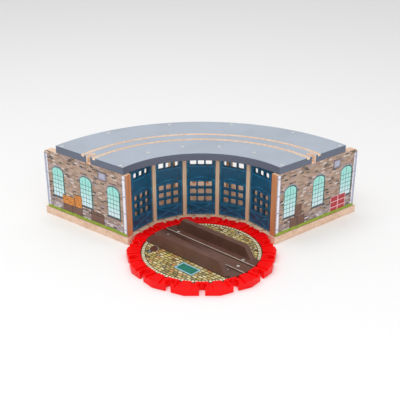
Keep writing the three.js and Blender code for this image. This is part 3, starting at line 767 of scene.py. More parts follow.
def keyhole(low, high):
    """A female track socket with its mouth at y = 0, running towards -Y."""
    half, radius = 4.1, 6.5
    meet = math.acos(half / radius)
    round_part = arc((0, -KEYHOLE_DEPTH), radius, math.pi - meet, 2 * math.pi + meet, 28)
    return plate([(half, 1), (-half, 1), *round_part], low, high)


def wheel_grooves(start, end, width):
    half = width / 2
    return [
        plate(rectangle(middle - half, middle + half, start, end), TRACK_TOP - GROOVE_DEPTH, TRACK_TOP + 1)
        for middle in (-RAIL_GAUGE / 2, RAIL_GAUGE / 2)
    ]


def countersink(screw, through):
    shank, head = screw["shank"] + FIT_GAP, screw["head"] + FIT_GAP
    return turned_solid([
        (0, -through - 2), (shank, -through - 2), (shank, -screw["depth"] - FIT_GAP),
        (head, -0.3 - FIT_GAP), (head, 3), (0, 3),
    ], 24)


# ---- Shed ----


def screw_spots():
    """Where the shed's screws stand, read from their own nodes: (x, y, points down)."""
    spots = []
    for node in sorted(frame["nodes"]):
        if node.startswith(("roof_screw_", "floor_screw_")):
            low, high = box_mm(node)
            spots.append(((low.x + high.x) / 2, (low.y + high.y) / 2, node.startswith("roof_screw_")))
    return spots


def make_base(sizes):
    front_left = place_at(-END_BAY, -BASE_SIDE, BASE_INNER)
    front_right = place_at(END_BAY, BASE_SIDE, BASE_INNER)
    rear = place_at(END_BAY, BASE_SIDE, WALL_REAR + BASE_BEHIND_WALLS)
    start = math.atan2(rear[1] - ROOF_CENTRE, rear[0])
    radius = math.hypot(rear[0], rear[1] - ROOF_CENTRE)
    corners = [place_at(h, 0, BASE_INNER / math.cos(HALF_PITCH)) for h in PARTITION_HEADINGS]
    outline = [front_left, *corners, front_right]
    outline += arc((0, ROOF_CENTRE), radius, start, math.pi - start, 90)
    grooves = wheel_grooves(BASE_INNER - 5, BASE_INNER + 140, WOOD_GROOVE)
    tang_hole = rod(3.3, BASE_INNER - 1, BASE_INNER + 12.3, 0, 0)
    tang_hole = moved(tang_hole, PEG_LIE)
    upward = moved(countersink(ROOF_SCREW, 12), Matrix.Rotation(math.pi, 4, "X"))
    cutters = [moved(groove, facing(h)) for h in HEADINGS for groove in grooves]
    cutters += [moved(tang_hole, facing(h)) for h in HEADINGS]
    cutters += [shifted(upward, x, y, SCREW_SINK) for x, y, down in screw_spots() if not down]
    mesh = softened(carve(plate(outline, 0, TRACK_TOP), cutters), sizes.board_edge)
    settle("base_board", mesh, [beech("across")], "shed", ["shed_base"])


def roof_end_heading(radius):
    return END_BAY + math.asin((ROOF_END + ROOF_CENTRE * math.sin(END_BAY)) / radius)


def roof_band(inner, outer, inner_heading, outer_heading, steps=96):
    quarter = math.pi / 2
    outside = arc((0, ROOF_CENTRE), outer, quarter - outer_heading, quarter + outer_heading, steps)
    inside = arc((0, ROOF_CENTRE), inner, quarter + inner_heading, quarter - inner_heading, steps)
    return outside + inside


def make_roof(sizes):
    middle = (ROOF_INNER + ROOF_OUTER) / 2
    outline = roof_band(
        ROOF_INNER, ROOF_OUTER, roof_end_heading(ROOF_INNER), roof_end_heading(ROOF_OUTER)
    )
    past = END_BAY + HALF_PITCH
    grooves = [
        plate(
            roof_band(centre - WOOD_GROOVE / 2, centre + WOOD_GROOVE / 2, past, past),
            ROOF_TOP - GROOVE_DEPTH, ROOF_TOP + 1,
        )
        for centre in (middle - RAIL_GAUGE / 2, middle + RAIL_GAUGE / 2)
    ]
    sockets = []
    for side in (-1, 1):
        x, y = place_at(side * roof_end_heading(middle), 0, middle)
        spot = Matrix.Translation((x, y + ROOF_CENTRE, 0))
        turn = Matrix.Rotation(-side * (END_BAY + math.pi / 2), 4, "Z")
        sockets.append(moved(keyhole(ROOF_BOTTOM - 1, ROOF_TOP + 1), spot @ turn))
    hole = countersink(ROOF_SCREW, 12)
    holes = [shifted(hole, x, y, ROOF_TOP - SCREW_SINK) for x, y, down in screw_spots() if down]
    board = carve(plate(outline, ROOF_BOTTOM, ROOF_TOP), grooves + sockets + holes)
    mesh = softened(board, sizes.board_edge)
    ends = [Vector((*place_at(side * END_BAY, side, 0), 0)) for side in (-1, 1)]
    spots = screw_spots()

    def choose(centre, normal):
        if normal.z > 0.5 and centre.z > ROOF_TOP - 0.6:
            return 0
        if normal.z < -0.9:
            return 1
        if any(math.hypot(centre.x - x, centre.y - y) < 4 for x, y, down in spots if down):
            return 0
        radius = math.hypot(centre.x, centre.y - ROOF_CENTRE)
        # The fascia and the ends take the darker edge paint: partly the roof's own edge colour, partly
        # painted shade on these side faces.
        if radius < ROOF_INNER + 0.8 or radius > ROOF_OUTER - 0.8:
            return 2
        if any(end.dot(centre) > ROOF_END - 0.8 and end.dot(normal) > 0.5 for end in ends):
            return 2
        return 1

    colour = tuple(sizes.roof_colour)
    roof_paint = stock("roof_paint", painted_board, colour, 0.02)
    edge_colour = tuple(sizes.roof_edge_colour)
    edge_paint_and_shade = stock("roof_edge_paint", painted_board, edge_colour, 0.02)
    settle(
        "roof_deck", mesh, [roof_paint, groove_wood(), edge_paint_and_shade], "shed", ["roof_board"],
        choose=choose,
    )


# ---- The print on the end walls ----

(
    BRICK, EDGE, FRAME, GLASS, ARCH, SILL, ORANGE, BROWN, DARK, PALE, LILAC, GRASS, RED, PINK, BARE
) = range(15)


def wall_materials(side):
    return [
        stock(f"brick_print_{side}", brick_print, 0.0 if side < 0 else 57.0),
        edge_shade_wood(),
        stock("window_frame_ink", print_film, paint(38, 92, 86)),
        stock("window_glass_ink", glass_print),
        stock("arch_stone_ink", print_film, paint(160, 148, 158), 0.25, 0.22),
        stock("sill_ink", print_film, paint(72, 66, 84)),
        stock("orange_crate_ink", print_film, paint(228, 140, 36), 0.3, 0.2),
        stock("brown_crate_ink", print_film, paint(122, 82, 64), 0.3, 0.2),
        stock("dark_line_ink", print_film, paint(70, 44, 40)),
        stock("pipe_light_ink", print_film, paint(246, 244, 252), 0.1, 0.05),
        stock("pipe_shade_ink", print_film, paint(178, 182, 204), 0.2, 0.1),
        stock("grass_ink", grass_print),
        stock("red_gate_ink", print_film, paint(178, 24, 40), 0.25, 0.2),
        stock("pink_gate_ink", print_film, paint(246, 190, 196), 0.3, 0.1),
        beech("up"),
    ]


class WallPrint:
    """Flat printed shapes on one end wall, drawn with distances along the wall and heights."""

    def __init__(self, side, film):
        self.side = side
        self.film = film
        self.lift = 0
        self.meshes = []

    def shape(self, outline, ink, layer=1):
        inside, outside = WALL_OUTER - 0.4, WALL_OUTER + self.film * (layer + self.lift)
        low, high = sorted((self.side * inside, self.side * outside))
        self.meshes.append(tinted(plate(outline, low, high, lie=ACROSS), ink))

    def box(self, left, right, low, high, ink, layer=1):
        self.shape(rectangle(left, right, low, high), ink, layer)

    def bar(self, start, end, width, ink, layer=1):
        self.shape(strip(start, end, width), ink, layer)

    def arched(self, middle, half, low, spring, rise, ink, layer, left=None, right=None, steps=14):
        """An arched shape, or the upright strip of it between two lines."""
        left = middle - half if left is None else left
        right = middle + half if right is None else right
        top = []
        for i in range(steps + 1):
            x = right + (left - right) * i / steps
            top.append((x, spring + rise * math.sqrt(max(0.0, 1 - ((x - middle) / half) ** 2))))
        self.shape([(left, low), (right, low), *top], ink, layer)

    def window(self, middle):
        half, low, spring, rise = 12.6, 39.0, 80.0, 9.5
        for i in range(11):
            a, b = (math.pi * (i + k) / 11 for k in (0.06, 0.94))
            ring = [
                (middle + (half + w) * math.cos(t), spring + (rise + w) * math.sin(t))
                for w, t in ((1.2, a), (1.2, b), (3.6, b), (3.6, a))
            ]
            self.shape(ring, ARCH, 1)
        self.arched(middle + self.side * 0.8, half + 1.3, low - 1.0, spring, rise + 1.3, FRAME, 2)
        bar = 0.42
        levels = [low, 46.2, 53.4, 60.6, 67.8, 75.0]
        for left, right in ((middle - half + 0.6, middle - bar), (middle + bar, middle + half - 0.6)):
            for floor, ceiling in zip(levels, levels[1:]):
                self.box(left, right, floor + bar, ceiling - bar, GLASS, 3)
            self.arched(middle, half, levels[-1] + bar, spring, rise - 0.5, GLASS, 3, left, right)
        for x in (middle - half / 2, middle + half / 2):
            self.box(x - 0.2, x + 0.2, low + bar, low + 44, FRAME, 4)
        self.box(middle - half - 3.2, middle + half + 3.2, low - 3.4, low - 1.2, SILL, 3)

    def crate(self, left, right, low, high, ink, boards=4):
        self.box(left, right, low, high, DARK, 2)
        self.box(left + 0.5, right - 0.5, low + 0.5, high - 0.5, ink, 3)
        for i in range(1, boards):
            z = low + (high - low) * i / boards
            self.box(left + 0.5, right - 0.5, z - 0.22, z + 0.22, DARK, 4)
        post = min(2.4, (right - left) * 0.14)
        for a in (left + 0.4, right - 0.4 - post):
            self.box(a, a + post, low + 0.4, high - 0.4, DARK, 5)
            self.box(a + 0.35, a + post - 0.35, low + 0.7, high - 0.7, ink, 6)
        self.bar((left + post + 1, low + 1.4), (right - post - 1, high - 1.4), 1.9, DARK, 5)
        self.bar((left + post + 1, low + 1.4), (right - post - 1, high - 1.4), 1.2, ink, 6)

    def gate(self, left, right, low, high):
        self.box(left, right, low, high, DARK, 2)
        middle = (left + right) / 2
        for a, b in ((left + 1.2, middle - 0.7), (middle + 0.7, right - 1.2)):
            self.box(a, b, low + 0.6, high - 1.2, BROWN, 3)
            step = (b - a) / 4
            for i in range(1, 4):
                self.box(a + i * step - 0.22, a + i * step + 0.22, low + 0.6, high - 1, DARK, 4)
            for z in (low + 4, high - 5):
                self.box(a, b, z, z + 1.3, DARK, 5)

    def lattice(self, left, right, low, high):
        self.box(left, right, low, high, PINK, 2)
        width, height = (right - left) / 2, (high - low) / 3
        for i in range(2):
            for j in range(3):
                a, z = left + i * width, low + j * height
                self.box(a + 0.9, a + width - 0.9, z + 0.7, z + height - 0.7, RED, 3)

    def plaque(self, left, right, low, high):
        self.box(left, right, low, high, SILL, 2)
        self.box(left + 1.1, right - 1.1, low + 1.1, high - 1.1, ARCH, 3)
        self.box(left + 3.6, right - 3.6, low + 3.4, high - 3.4, LILAC, 4)
        for x in (left + 2.1, right - 2.1):
            for z in (low + 2.1, high - 2.1):
                self.shape(circle(0.5, 10, (x, z)), DARK, 4)

    def pipe(self, left, right, low, high, light=(0.22, 0.86)):
        width = right - left
        self.box(left, right, low, high, LILAC, 2)
        self.box(left + width * light[0], left + width * light[1], low, high, PALE, 3)
        for i in range(4):
            z = low + 8 + i * (high - low - 14) / 3
            self.box(left - 0.5, right + 0.4, z - 0.9, z + 0.9, ARCH, 4)
            self.box(left - 0.2, right + 0.1, z - 0.6, z + 0.6, LILAC, 5)

    def grass(self, left, right, low, seed):
        pick = random.Random(seed)
        top, x = [], right
        while x > left:
            top.append((x, low + pick.uniform(3.0, 4.2)))
            top.append((x - 0.55, low + pick.uniform(4.2, 6.4)))
            x -= pick.uniform(1.0, 1.9)
        top = [(max(x, left), z) for x, z in top]
        self.shape([(left, low), (right, low), *top], GRASS, 7)


IN_FRONT = 4  # films that the windows take up, under what stands in front of them


def print_left(p):
    for middle in (138.5, 198.0, 261.5):
        p.window(middle)
    p.lift = IN_FRONT
    p.crate(225.5, 253.5, 30.0, 45.0, ORANGE)
    p.crate(208.5, 225.0, 31.0, 52.0, ORANGE, 5)
    p.crate(209.0, 231.0, 16.0, 30.5, BROWN, 3)
    p.crate(231.5, 253.5, 16.0, 29.5, BROWN, 3)
    p.gate(160.5, 189.5, 16.0, 35.0)
    p.plaque(151.0, 169.5, 93.5, 108.0)


def print_right(p):
    for middle in (140.5, 203.0, 267.0):
        p.window(middle)
    p.lift = IN_FRONT
    p.crate(152.0, 167.0, 34.0, 53.5, BROWN, 4)
    p.crate(143.0, 158.5, 16.0, 34.0, BROWN, 4)
    p.crate(159.0, 175.0, 16.0, 33.0, BROWN, 4)
    p.lattice(234.0, 269.0, 14.5, 43.0)
    p.plaque(234.5, 252.0, 92.0, 107.0)


def make_walls(sizes):
    quarter = math.pi / 2
    corner = arc((WALL_REAR - WALL_CORNER, WALL_TOP - WALL_CORNER), WALL_CORNER, 0, quarter, 14)
    outline = [(WALL_FRONT, WALL_BOTTOM), (WALL_REAR, WALL_BOTTOM), *corner, (WALL_FRONT, WALL_TOP)]
    for side, name in ((-1, "left"), (1, "right")):
        low, high = sorted((side * WALL_INNER, side * WALL_OUTER))
        socket = rod(HINGE_SOCKET, *sorted((0, side * (WALL_INNER + HINGE_SOCKET_DEPTH))), HINGE_Y, HINGE_Z)
        board = carve(plate(outline, low, high, lie=ACROSS), [socket])
        board = softened(board, sizes.board_edge)
        for polygon in board.polygons:
            outside = polygon.normal.x * side > 0.9 and polygon.center.x * side > WALL_OUTER - 0.2
            at_front = polygon.center.y < WALL_FRONT + 0.4
            # Front edge faces take the browner edge wood, which is painted shade.
            polygon.material_index = BRICK if outside else EDGE if at_front else BARE
        p = WallPrint(side, sizes.print_height)
        (print_left if side < 0 else print_right)(p)
        p.pipe(WALL_FRONT + 0.7, WALL_FRONT + 7.0, WALL_BOTTOM + 3, WALL_TOP - 0.8)
        p.pipe(WALL_REAR - 7.6, WALL_REAR - 0.9, WALL_BOTTOM + 3, WALL_TOP - 6.5, (0.05, 0.35))
        p.grass(WALL_FRONT + 0.7, WALL_REAR - 0.7, WALL_BOTTOM + 0.6, 11 + side)
        mesh = joined(board, p.meshes)
        settle(
            f"end_wall_{name}", mesh, wall_materials(side), "shed",
            [f"{name}_end_wall"], facing(side * END_BAY),
        )


def joined(main, extras):
    """The main mesh keeps its shading, and the flat extras are added to it."""
    obj, tool = draft(main), draft(merged(extras))
    numbers = [polygon.material_index for item in (obj, tool) for polygon in item.data.polygons]
    for item in (obj, tool):
        item.data.materials.clear()
    with bpy.context.temp_override(
        active_object=obj, object=obj, selected_objects=[obj, tool], selected_editable_objects=[obj, tool]
    ):
        bpy.ops.object.join()
    mesh = obj.data
    bpy.data.objects.remove(obj)
    mesh.polygons.foreach_set("material_index", numbers)
    return mesh


def make_partitions(sizes):
    for i, heading in enumerate(PARTITION_HEADINGS):
        node = f"partition_{i + 1}"
        across = ROOF_CENTRE * math.sin(heading)
        rear = ROOF_CENTRE * math.cos(heading) + math.sqrt(ROOF_OUTER**2 - across**2) - 2
        outline = rectangle(PARTITION_FRONT, rear, WALL_BOTTOM, WALL_TOP)
        opening = rounded_rectangle(
            PARTITION_FRONT + PARTITION_FRONT_POST, rear - PARTITION_REAR_POST,
            TRACK_TOP + PARTITION_SILL, ROOF_BOTTOM - PARTITION_HEAD_RAIL, PARTITION_CORNER, 8,
        )
        board = plate(outline, -PARTITION_HALF, PARTITION_HALF, [opening], ACROSS)
        half = bay_half(HINGE_Y)
        reach = half + HINGE_SOCKET_DEPTH
        sockets = [
            moved(rod(HINGE_SOCKET, -reach, 0, HINGE_Y, HINGE_Z), facing(HALF_PITCH)),
            moved(rod(HINGE_SOCKET, 0, reach, HINGE_Y, HINGE_Z), facing(-HALF_PITCH)),
        ]
        mesh = softened(carve(board, sockets), sizes.board_edge * 0.8)
        settle(f"divider_{i + 1}", mesh, [slat_wood()], "shed", [node], facing(heading))


def make_doors(sizes):
    half = bay_half(DOOR_FRONT) - 0.4
    window_width, window_height, corner = WINDOW
    holes = [
        rounded_rectangle(
            x - window_width / 2, x + window_width / 2, z - window_height / 2, z + window_height / 2, corner
        )
        for z in WINDOW_ROWS
        for x in WINDOW_COLUMNS
    ]
    leaf = plate(
        rectangle(-half, half, DOOR_BOTTOM, DOOR_TOP), DOOR_FRONT, DOOR_FRONT + DOOR_THICKNESS,
        holes, THROUGH,
    )
    lines = []
    count = int(half / sizes.plank_pitch)
    for i in range(-count, count + 1):
        x = (i + 0.5) * sizes.plank_pitch
        if abs(x) < half - 1:
            notch = [(x - 0.3, DOOR_FRONT - 0.1), (x + 0.3, DOOR_FRONT - 0.1), (x, DOOR_FRONT + 0.35)]
            lines.append(plate(notch, DOOR_BOTTOM - 1, DOOR_TOP + 1))
    lines.append(rod(1.25, -half - 1, half + 1, HINGE_Y, HINGE_Z))
    leaf = softened(carve(leaf, lines), 0.22, 2, 40)
    ribs = []
    proud = sizes.brace_height

    def rib(start, end, width, depth=proud):
        ribs.append(plate(strip(start, end, width), DOOR_FRONT - depth, DOOR_FRONT + 0.5, lie=THROUGH))

    side, low, high = half - 1.6, DOOR_BOTTOM + 1.6, WINDOW_ROWS[3] - 7.2
    rib((-side, low), (side, low), 1.8, proud * 0.8)
    rib((-side, high), (side, high), 1.6, proud * 0.8)
    rib((-side, low), (side, high), 1.3)
    rib((-side, high), (side, low), 1.3, proud * 1.05)
    sill = WINDOW_ROWS[1] + 7.2
    stations = [side * k / 8 for k in range(-8, 9)]
    arch = [(x, sill + 5.5 * math.cos(x / side * math.pi / 2)) for x in stations]
    for start, end in zip(arch, arch[1:]):
        rib(start, end, 1.2, proud * 0.8)
    for z in (WINDOW_ROWS[0] - 6.8, sill - 0.6):
        rib((-side, z), (side, z), 1.3, proud * 0.7)
    for x in (-side, side):
        rib((x, low), (x, WINDOW_ROWS[0] + 6.4), 1.5, proud * 0.7)
    ribs = tinted(softened(merged(ribs), 0.12, 2, 40), 1)
    colour = tuple(sizes.door_colour)
    plastic = stock("door_plastic", moulded, colour, 0.30, 0.12, 0.2)
    # The braces take a much lighter plastic: a painted highlight along the raised braces.
    rib_highlight = toned(colour, 1.9, 0.02)
    rib_highlight_plastic = stock("door_rib_plastic", moulded, rib_highlight, 0.26, 0.12, 0.3)
    steel = bright_steel()
    rods = []
    for i, (bay, heading) in enumerate(zip(BAYS, HEADINGS)):
        settle(
            f"{bay}_leaf", joined(leaf.copy(), [ribs.copy()]), [plastic, rib_highlight_plastic],
            bay, [bay], facing(heading),
        )
        reach = bay_half(HINGE_Y) + 2
        left = WALL_INNER + 2 if i == 0 else reach
        right = WALL_INNER + 2 if i == len(BAYS) - 1 else reach
        rods.append(moved(softened(rod(HINGE_ROD, -left, right, HINGE_Y, HINGE_Z), 0.2), facing(heading)))
    nodes = [f"hinge_rod_{i + 1}" for i in range(len(BAYS))]
    settle("hinge_pins", merged(rods), [steel], "shed", nodes)


def make_pegs(sizes):
    low, high = PEG_HEIGHT - 4.5, PEG_HEIGHT + 4.5
    head = shifted(plate(circle(5.6, 40), low, high), 0, RING_APOTHEM - KEYHOLE_DEPTH)
    neck = plate(rectangle(-2.3, 2.3, RING_APOTHEM - KEYHOLE_DEPTH, BASE_INNER - FIT_GAP), low, high)
    tang = rod(3.0, BASE_INNER - 2 * FIT_GAP, BASE_INNER + 12, 0, 0, 28)
    tang = moved(tang, PEG_LIE)
    peg = softened(carve(head, [neck, tang], "UNION"), 0.4)
    red = red_plastic(sizes)
    pegs = shaded(merged([moved(peg, facing(heading)) for heading in HEADINGS]))
    settle("track_pegs", pegs, [red], "shed", [f"track_peg_{i + 1}" for i in range(5)])


# ---- Screws ----


def screw_tree(name, material):
    """Countersunk cross-head screws on the vertices of a mesh, heads up, or down where "flip" is 1."""
    tree = bpy.data.node_groups.new(name, "GeometryNodeTree")
    face = tree.interface
    face.new_socket("Places", in_out="INPUT", socket_type="NodeSocketGeometry")
    for label, value in (
        ("Head Radius", 3.2), ("Head Depth", 1.8), ("Shank Radius", 1.4), ("Length", 23.7),
        ("Cross Width", 0.8),
    ):
        socket = face.new_socket(label, in_out="INPUT", socket_type="NodeSocketFloat")
        socket.default_value = value
    face.new_socket("Turn Seed", in_out="INPUT", socket_type="NodeSocketInt")
    face.new_socket("Screws", in_out="OUTPUT", socket_type="NodeSocketGeometry")
    nodes, links = tree.nodes, tree.links
    given, out = nodes.new("NodeGroupInput"), nodes.new("NodeGroupOutput")

    def add(kind, **settings):
        made = nodes.new(kind)
        for key, value in settings.items():
            setattr(made, key, value)
        return made

    def calc(operation, a, b):
        made = add("ShaderNodeMath", operation=operation)
        for socket, value in zip(made.inputs, (a, b)):
            if isinstance(value, bpy.types.NodeSocket):
                links.new(value, socket)
            else:
                socket.default_value = value
        return made.outputs[0]

    def put(geometry, height):
        combine = add("ShaderNodeCombineXYZ")
        links.new(height, combine.inputs["Z"])
        move = add("GeometryNodeTransform")
        links.new(geometry, move.inputs["Geometry"])
        links.new(combine.outputs[0], move.inputs["Translation"])
        return move.outputs[0]

    def cone(top, bottom, depth):
        made = add("GeometryNodeMeshCone")
        made.inputs["Vertices"].default_value = 24
        for key, value in (("Radius Top", top), ("Radius Bottom", bottom), ("Depth", depth)):
            links.new(value, made.inputs[key])
        return made.outputs["Mesh"]

    head_radius, depth = given.outputs["Head Radius"], given.outputs["Head Depth"]
    shank, length = given.outputs["Shank Radius"], given.outputs["Length"]
    width = given.outputs["Cross Width"]
    head = put(cone(head_radius, shank, depth), calc("MULTIPLY", depth, -1.0))
    stem_length = calc("SUBTRACT", length, depth)
    stem = put(
        cone(shank, calc("MULTIPLY", shank, 0.45), stem_length), calc("MULTIPLY", length, -1.0)
    )
    slots = []
    for swap in (False, True):
        size = add("ShaderNodeCombineXYZ")
        across = calc("MULTIPLY", head_radius, 1.15)
        links.new(width if swap else across, size.inputs["X"])
        links.new(across if swap else width, size.inputs["Y"])
        links.new(depth, size.inputs["Z"])
        cube = add("GeometryNodeMeshCube")
        links.new(size.outputs[0], cube.inputs["Size"])
        slots.append(cube.outputs["Mesh"])
    cut = add("GeometryNodeMeshBoolean", operation="DIFFERENCE")
    links.new(head, cut.inputs[0])
    for slot in slots:
        links.new(slot, cut.inputs[1])
    both = add("GeometryNodeJoinGeometry")
    links.new(stem, both.inputs[0])
    links.new(cut.outputs["Mesh"], both.inputs[0])

    flip = add("GeometryNodeInputNamedAttribute", data_type="FLOAT")
    flip.inputs["Name"].default_value = "flip"
    turn = add("FunctionNodeRandomValue", data_type="FLOAT")
    turn.inputs[3].default_value = math.pi
    links.new(given.outputs["Turn Seed"], turn.inputs["Seed"])
    tilt = add("ShaderNodeCombineXYZ")
    links.new(calc("MULTIPLY", flip.outputs["Attribute"], math.pi), tilt.inputs["X"])
    links.new(turn.outputs[1], tilt.inputs["Z"])
    spots = add("GeometryNodeInstanceOnPoints")
    links.new(given.outputs["Places"], spots.inputs["Points"])
    links.new(both.outputs[0], spots.inputs["Instance"])
    links.new(tilt.outputs[0], spots.inputs["Rotation"])
    real = add("GeometryNodeRealizeInstances")
    links.new(spots.outputs[0], real.inputs[0])
    dress = add("GeometryNodeSetMaterial")
    dress.inputs["Material"].default_value = material
    links.new(real.outputs[0], dress.inputs["Geometry"])
    links.new(dress.outputs[0], out.inputs[0])
    return tree


def place_screws(name, places, screw, body, nodes, seed, placement=UPRIGHT):
    """places are (x, y, z, flip) in millimetres."""
    steel = stock("screw_steel", metal, paint(244, 244, 242), 0.42, 0.45)
    tree = stock("countersunk_screws", screw_tree, steel)
    mesh = bpy.data.meshes.new("places")
    mesh.from_pydata([place[:3] for place in places], [], [])
    flips = mesh.attributes.new("flip", "FLOAT", "POINT")
    flips.data.foreach_set("value", [float(place[3]) for place in places])
    obj = draft(mesh)
    modifier = obj.modifiers.new("screws", "NODES")
    modifier.node_group = tree
    values = {
        "Head Radius": screw["head"], "Head Depth": screw["depth"], "Shank Radius": screw["shank"],
        "Length": screw["length"], "Cross Width": screw["head"] * 0.26, "Turn Seed": seed,
    }
    for item in tree.interface.items_tree:
        if item.in_out == "INPUT" and item.name in values:
            modifier[item.identifier] = values[item.name]
    settle(name, shaded(applied(obj), 30), [steel], body, nodes, placement)


def make_screws(sizes):
    places = [
        (x, y, ROOF_TOP - SCREW_SINK, 0) if down else (x, y, SCREW_SINK, 1) for x, y, down in screw_spots()
    ]
    nodes = [n for n in sorted(frame["nodes"]) if n.startswith(("roof_screw_", "floor_screw_"))]
    place_screws("shed_screws", places, ROOF_SCREW, "shed", nodes, sizes.screw_seed)
    places = [(x, y, TRACK_TOP - SCREW_SINK, 0) for x, y in BRIDGE_SCREW_SPOTS]
    nodes = [f"bridge_screw_{i + 1}" for i in range(len(places))]
    place_screws(
        "bridge_screws", places, BRIDGE_SCREW, "bridge", nodes, sizes.screw_seed + 1, facing(BRIDGE_HEADING)
    )


# ---- Turntable ----


def make_ring(sizes):
    corners = [
        place_at(HALF_PITCH - port * PITCH, 0, RING_APOTHEM / math.cos(HALF_PITCH))
        for port in range(PORT_COUNT)
    ]
    solid = plate(corners, 0, TRACK_TOP)
    well = plate(circle(WELL_RADIUS, 168), RING_FLOOR, TRACK_TOP + 1)
    port = [shifted(keyhole(-1, TRACK_TOP + 1), 0, RING_APOTHEM)]
    port += wheel_grooves(WELL_RADIUS - 3, RING_APOTHEM + 5, MOULDED_GROOVE)
    ports = [moved(cutter, facing(i * PITCH)) for i in range(PORT_COUNT) for cutter in port]
    solid = carve(carve(solid, [well]), ports)
    boss = turned_solid([(0, 1.0), (5, 1.0), (5, 5.9), (1.8, 5.9), (1.8, 1.4), (0, 1.4)], 40)
    mesh = softened(solid, sizes.moulded_edge, 3)
    mesh = joined(mesh, [boss])
    red = red_plastic(sizes)
    settle("ring", mesh, [red], "turntable", ["turntable_ring"])


COBBLE, D_GREEN, D_BLUE, D_DARK, D_BROWN, D_GREY, D_PALE = range(7)


def make_disc(sizes):
    half = BRIDGE_HALF + FIT_GAP
    solid = plate(circle(DISC_RADIUS, 168), DISC_BOTTOM, DISC_TOP)
    reach = DISC_RADIUS + 5
    channel = plate(rectangle(-half, half, -reach, reach), DECK_BOTTOM - FIT_GAP, DISC_TOP + 1)
    bore = plate(circle(5.4, 40), 0, DISC_TOP + 1)
    rebate = plate(circle(8.9, 40), 5.8, DISC_TOP + 1)
    hole = countersink(BRIDGE_SCREW, 7.2)
    holes = [shifted(hole, x, y, TRACK_TOP - SCREW_SINK) for x, y in BRIDGE_SCREW_SPOTS]
    mesh = softened(carve(carve(solid, [channel]), [bore] + holes), 0.3)
    mesh = softened(carve(mesh, [rebate]), 0.05)
    film = sizes.print_height
    extras = []

    def ink(outline, colour, layer):
        extras.append(tinted(plate(outline, DISC_TOP - 0.4, DISC_TOP + film * layer), colour))

    # A planked hatch in a pale blue frame.
    left, right, low, high = -62.5, -41.7, -38.0, -2.5
    ink(rectangle(left, right, low, high), D_DARK, 1)
    ink(rectangle(left + 0.5, right - 0.5, low + 0.5, high - 0.5), D_BLUE, 2)
    ink(rectangle(left + 2.9, right - 2.9, low + 2.9, high - 2.9), D_DARK, 3)
    planks = 7
    step = (right - left - 6.8) / planks
    for i in range(planks):
        a = left + 3.4 + i * step
        ink(rectangle(a + 0.12, a + step - 0.12, low + 3.5, high - 3.5), D_GREEN, 4)
    for y in (low + 7, high - 7):
        ink(rectangle(left + 3.4, right - 3.4, y - 0.8, y + 0.8), D_DARK, 5)
        ink(rectangle(left + 3.6, right - 3.6, y - 0.5, y + 0.5), D_GREEN, 6)
    # A barrel seen from above, with tools beside it.
    slant = math.cos(BRIDGE_HEADING), -math.sin(BRIDGE_HEADING)

    def barrel(half_length, half_width, start=0.0, end=2 * math.pi):
        long_way, cross_way = (slant[1], slant[0]), (slant[0], -slant[1])
        return [
            (
                -43 + half_length * x * long_way[0] + half_width * y * cross_way[0],
                57 + half_length * x * long_way[1] + half_width * y * cross_way[1],
            )
            for x, y in arc((0, 0), 1, start, end, 28)
        ][:-1]

    ink(barrel(10.4, 6.9), D_PALE, 1)
    ink(barrel(9.6, 6.2), D_DARK, 2)
    ink(barrel(8.6, 5.2), D_BROWN, 3)
    for inset in (0.35, 0.75):
        ink(barrel(8.6 * inset, 5.2), D_DARK, 4 if inset > 0.5 else 6)
        ink(barrel(8.6 * inset - 0.6, 5.0), D_BROWN, 5 if inset > 0.5 else 7)
    ink(rounded_rectangle(-57, -51, 52.5, 61.5, 1.2), D_DARK, 1)
    ink(rounded_rectangle(-56.1, -52.2, 54.0, 58.0, 0.8), D_GREY, 2)
    # Small slotted covers.
    for x, y, radius, colour in (
        (-69.5, 8.4, 3.4, D_DARK), (-64.3, 19.7, 2.8, D_DARK), (79.5, -2.8, 3.2, D_GREY),
        (56, -55, 3.6, D_BROWN), (60, 40, 2.6, D_DARK), (47, 62, 2.4, D_DARK),
    ):
        ink(circle(radius, 20, (x, y)), D_DARK, 1)
        ink(circle(radius - 0.7, 20, (x, y)), colour, 2)
        for i in (-1, 0, 1):
            slot = x + i * 1.2
            ink(rectangle(slot - 0.3, slot + 0.3, y - radius * 0.5, y + radius * 0.5), D_PALE, 3)
    mesh = joined(mesh, extras)
    brown = moulded("disc_underside", paint(86, 62, 54), 0.4)
    materials = [
        cobble_print("cobble_print"),
        print_film("hatch_green_ink", paint(18, 132, 112), 0.3, 0.15),
        print_film("hatch_blue_ink", paint(150, 206, 222), 0.3, 0.08),
        print_film("paving_dark_ink", paint(44, 38, 34)),
        print_film("barrel_brown_ink", paint(104, 56, 40), 0.4, 0.2),
        print_film("tool_grey_ink", paint(122, 132, 150), 0.4, 0.12),
        print_film("chalk_ink", paint(214, 206, 178), 0.4, 0.08),
        brown,
    ]
    for polygon in mesh.polygons:
        on_top = polygon.normal.z > 0.5 and polygon.center.z > DISC_TOP - 0.4
        if polygon.material_index == COBBLE and not on_top:
            polygon.material_index = len(materials) - 1
    settle(
        "paved_disc", mesh, materials, "bridge", ["turntable_disc"], facing(BRIDGE_HEADING)
    )


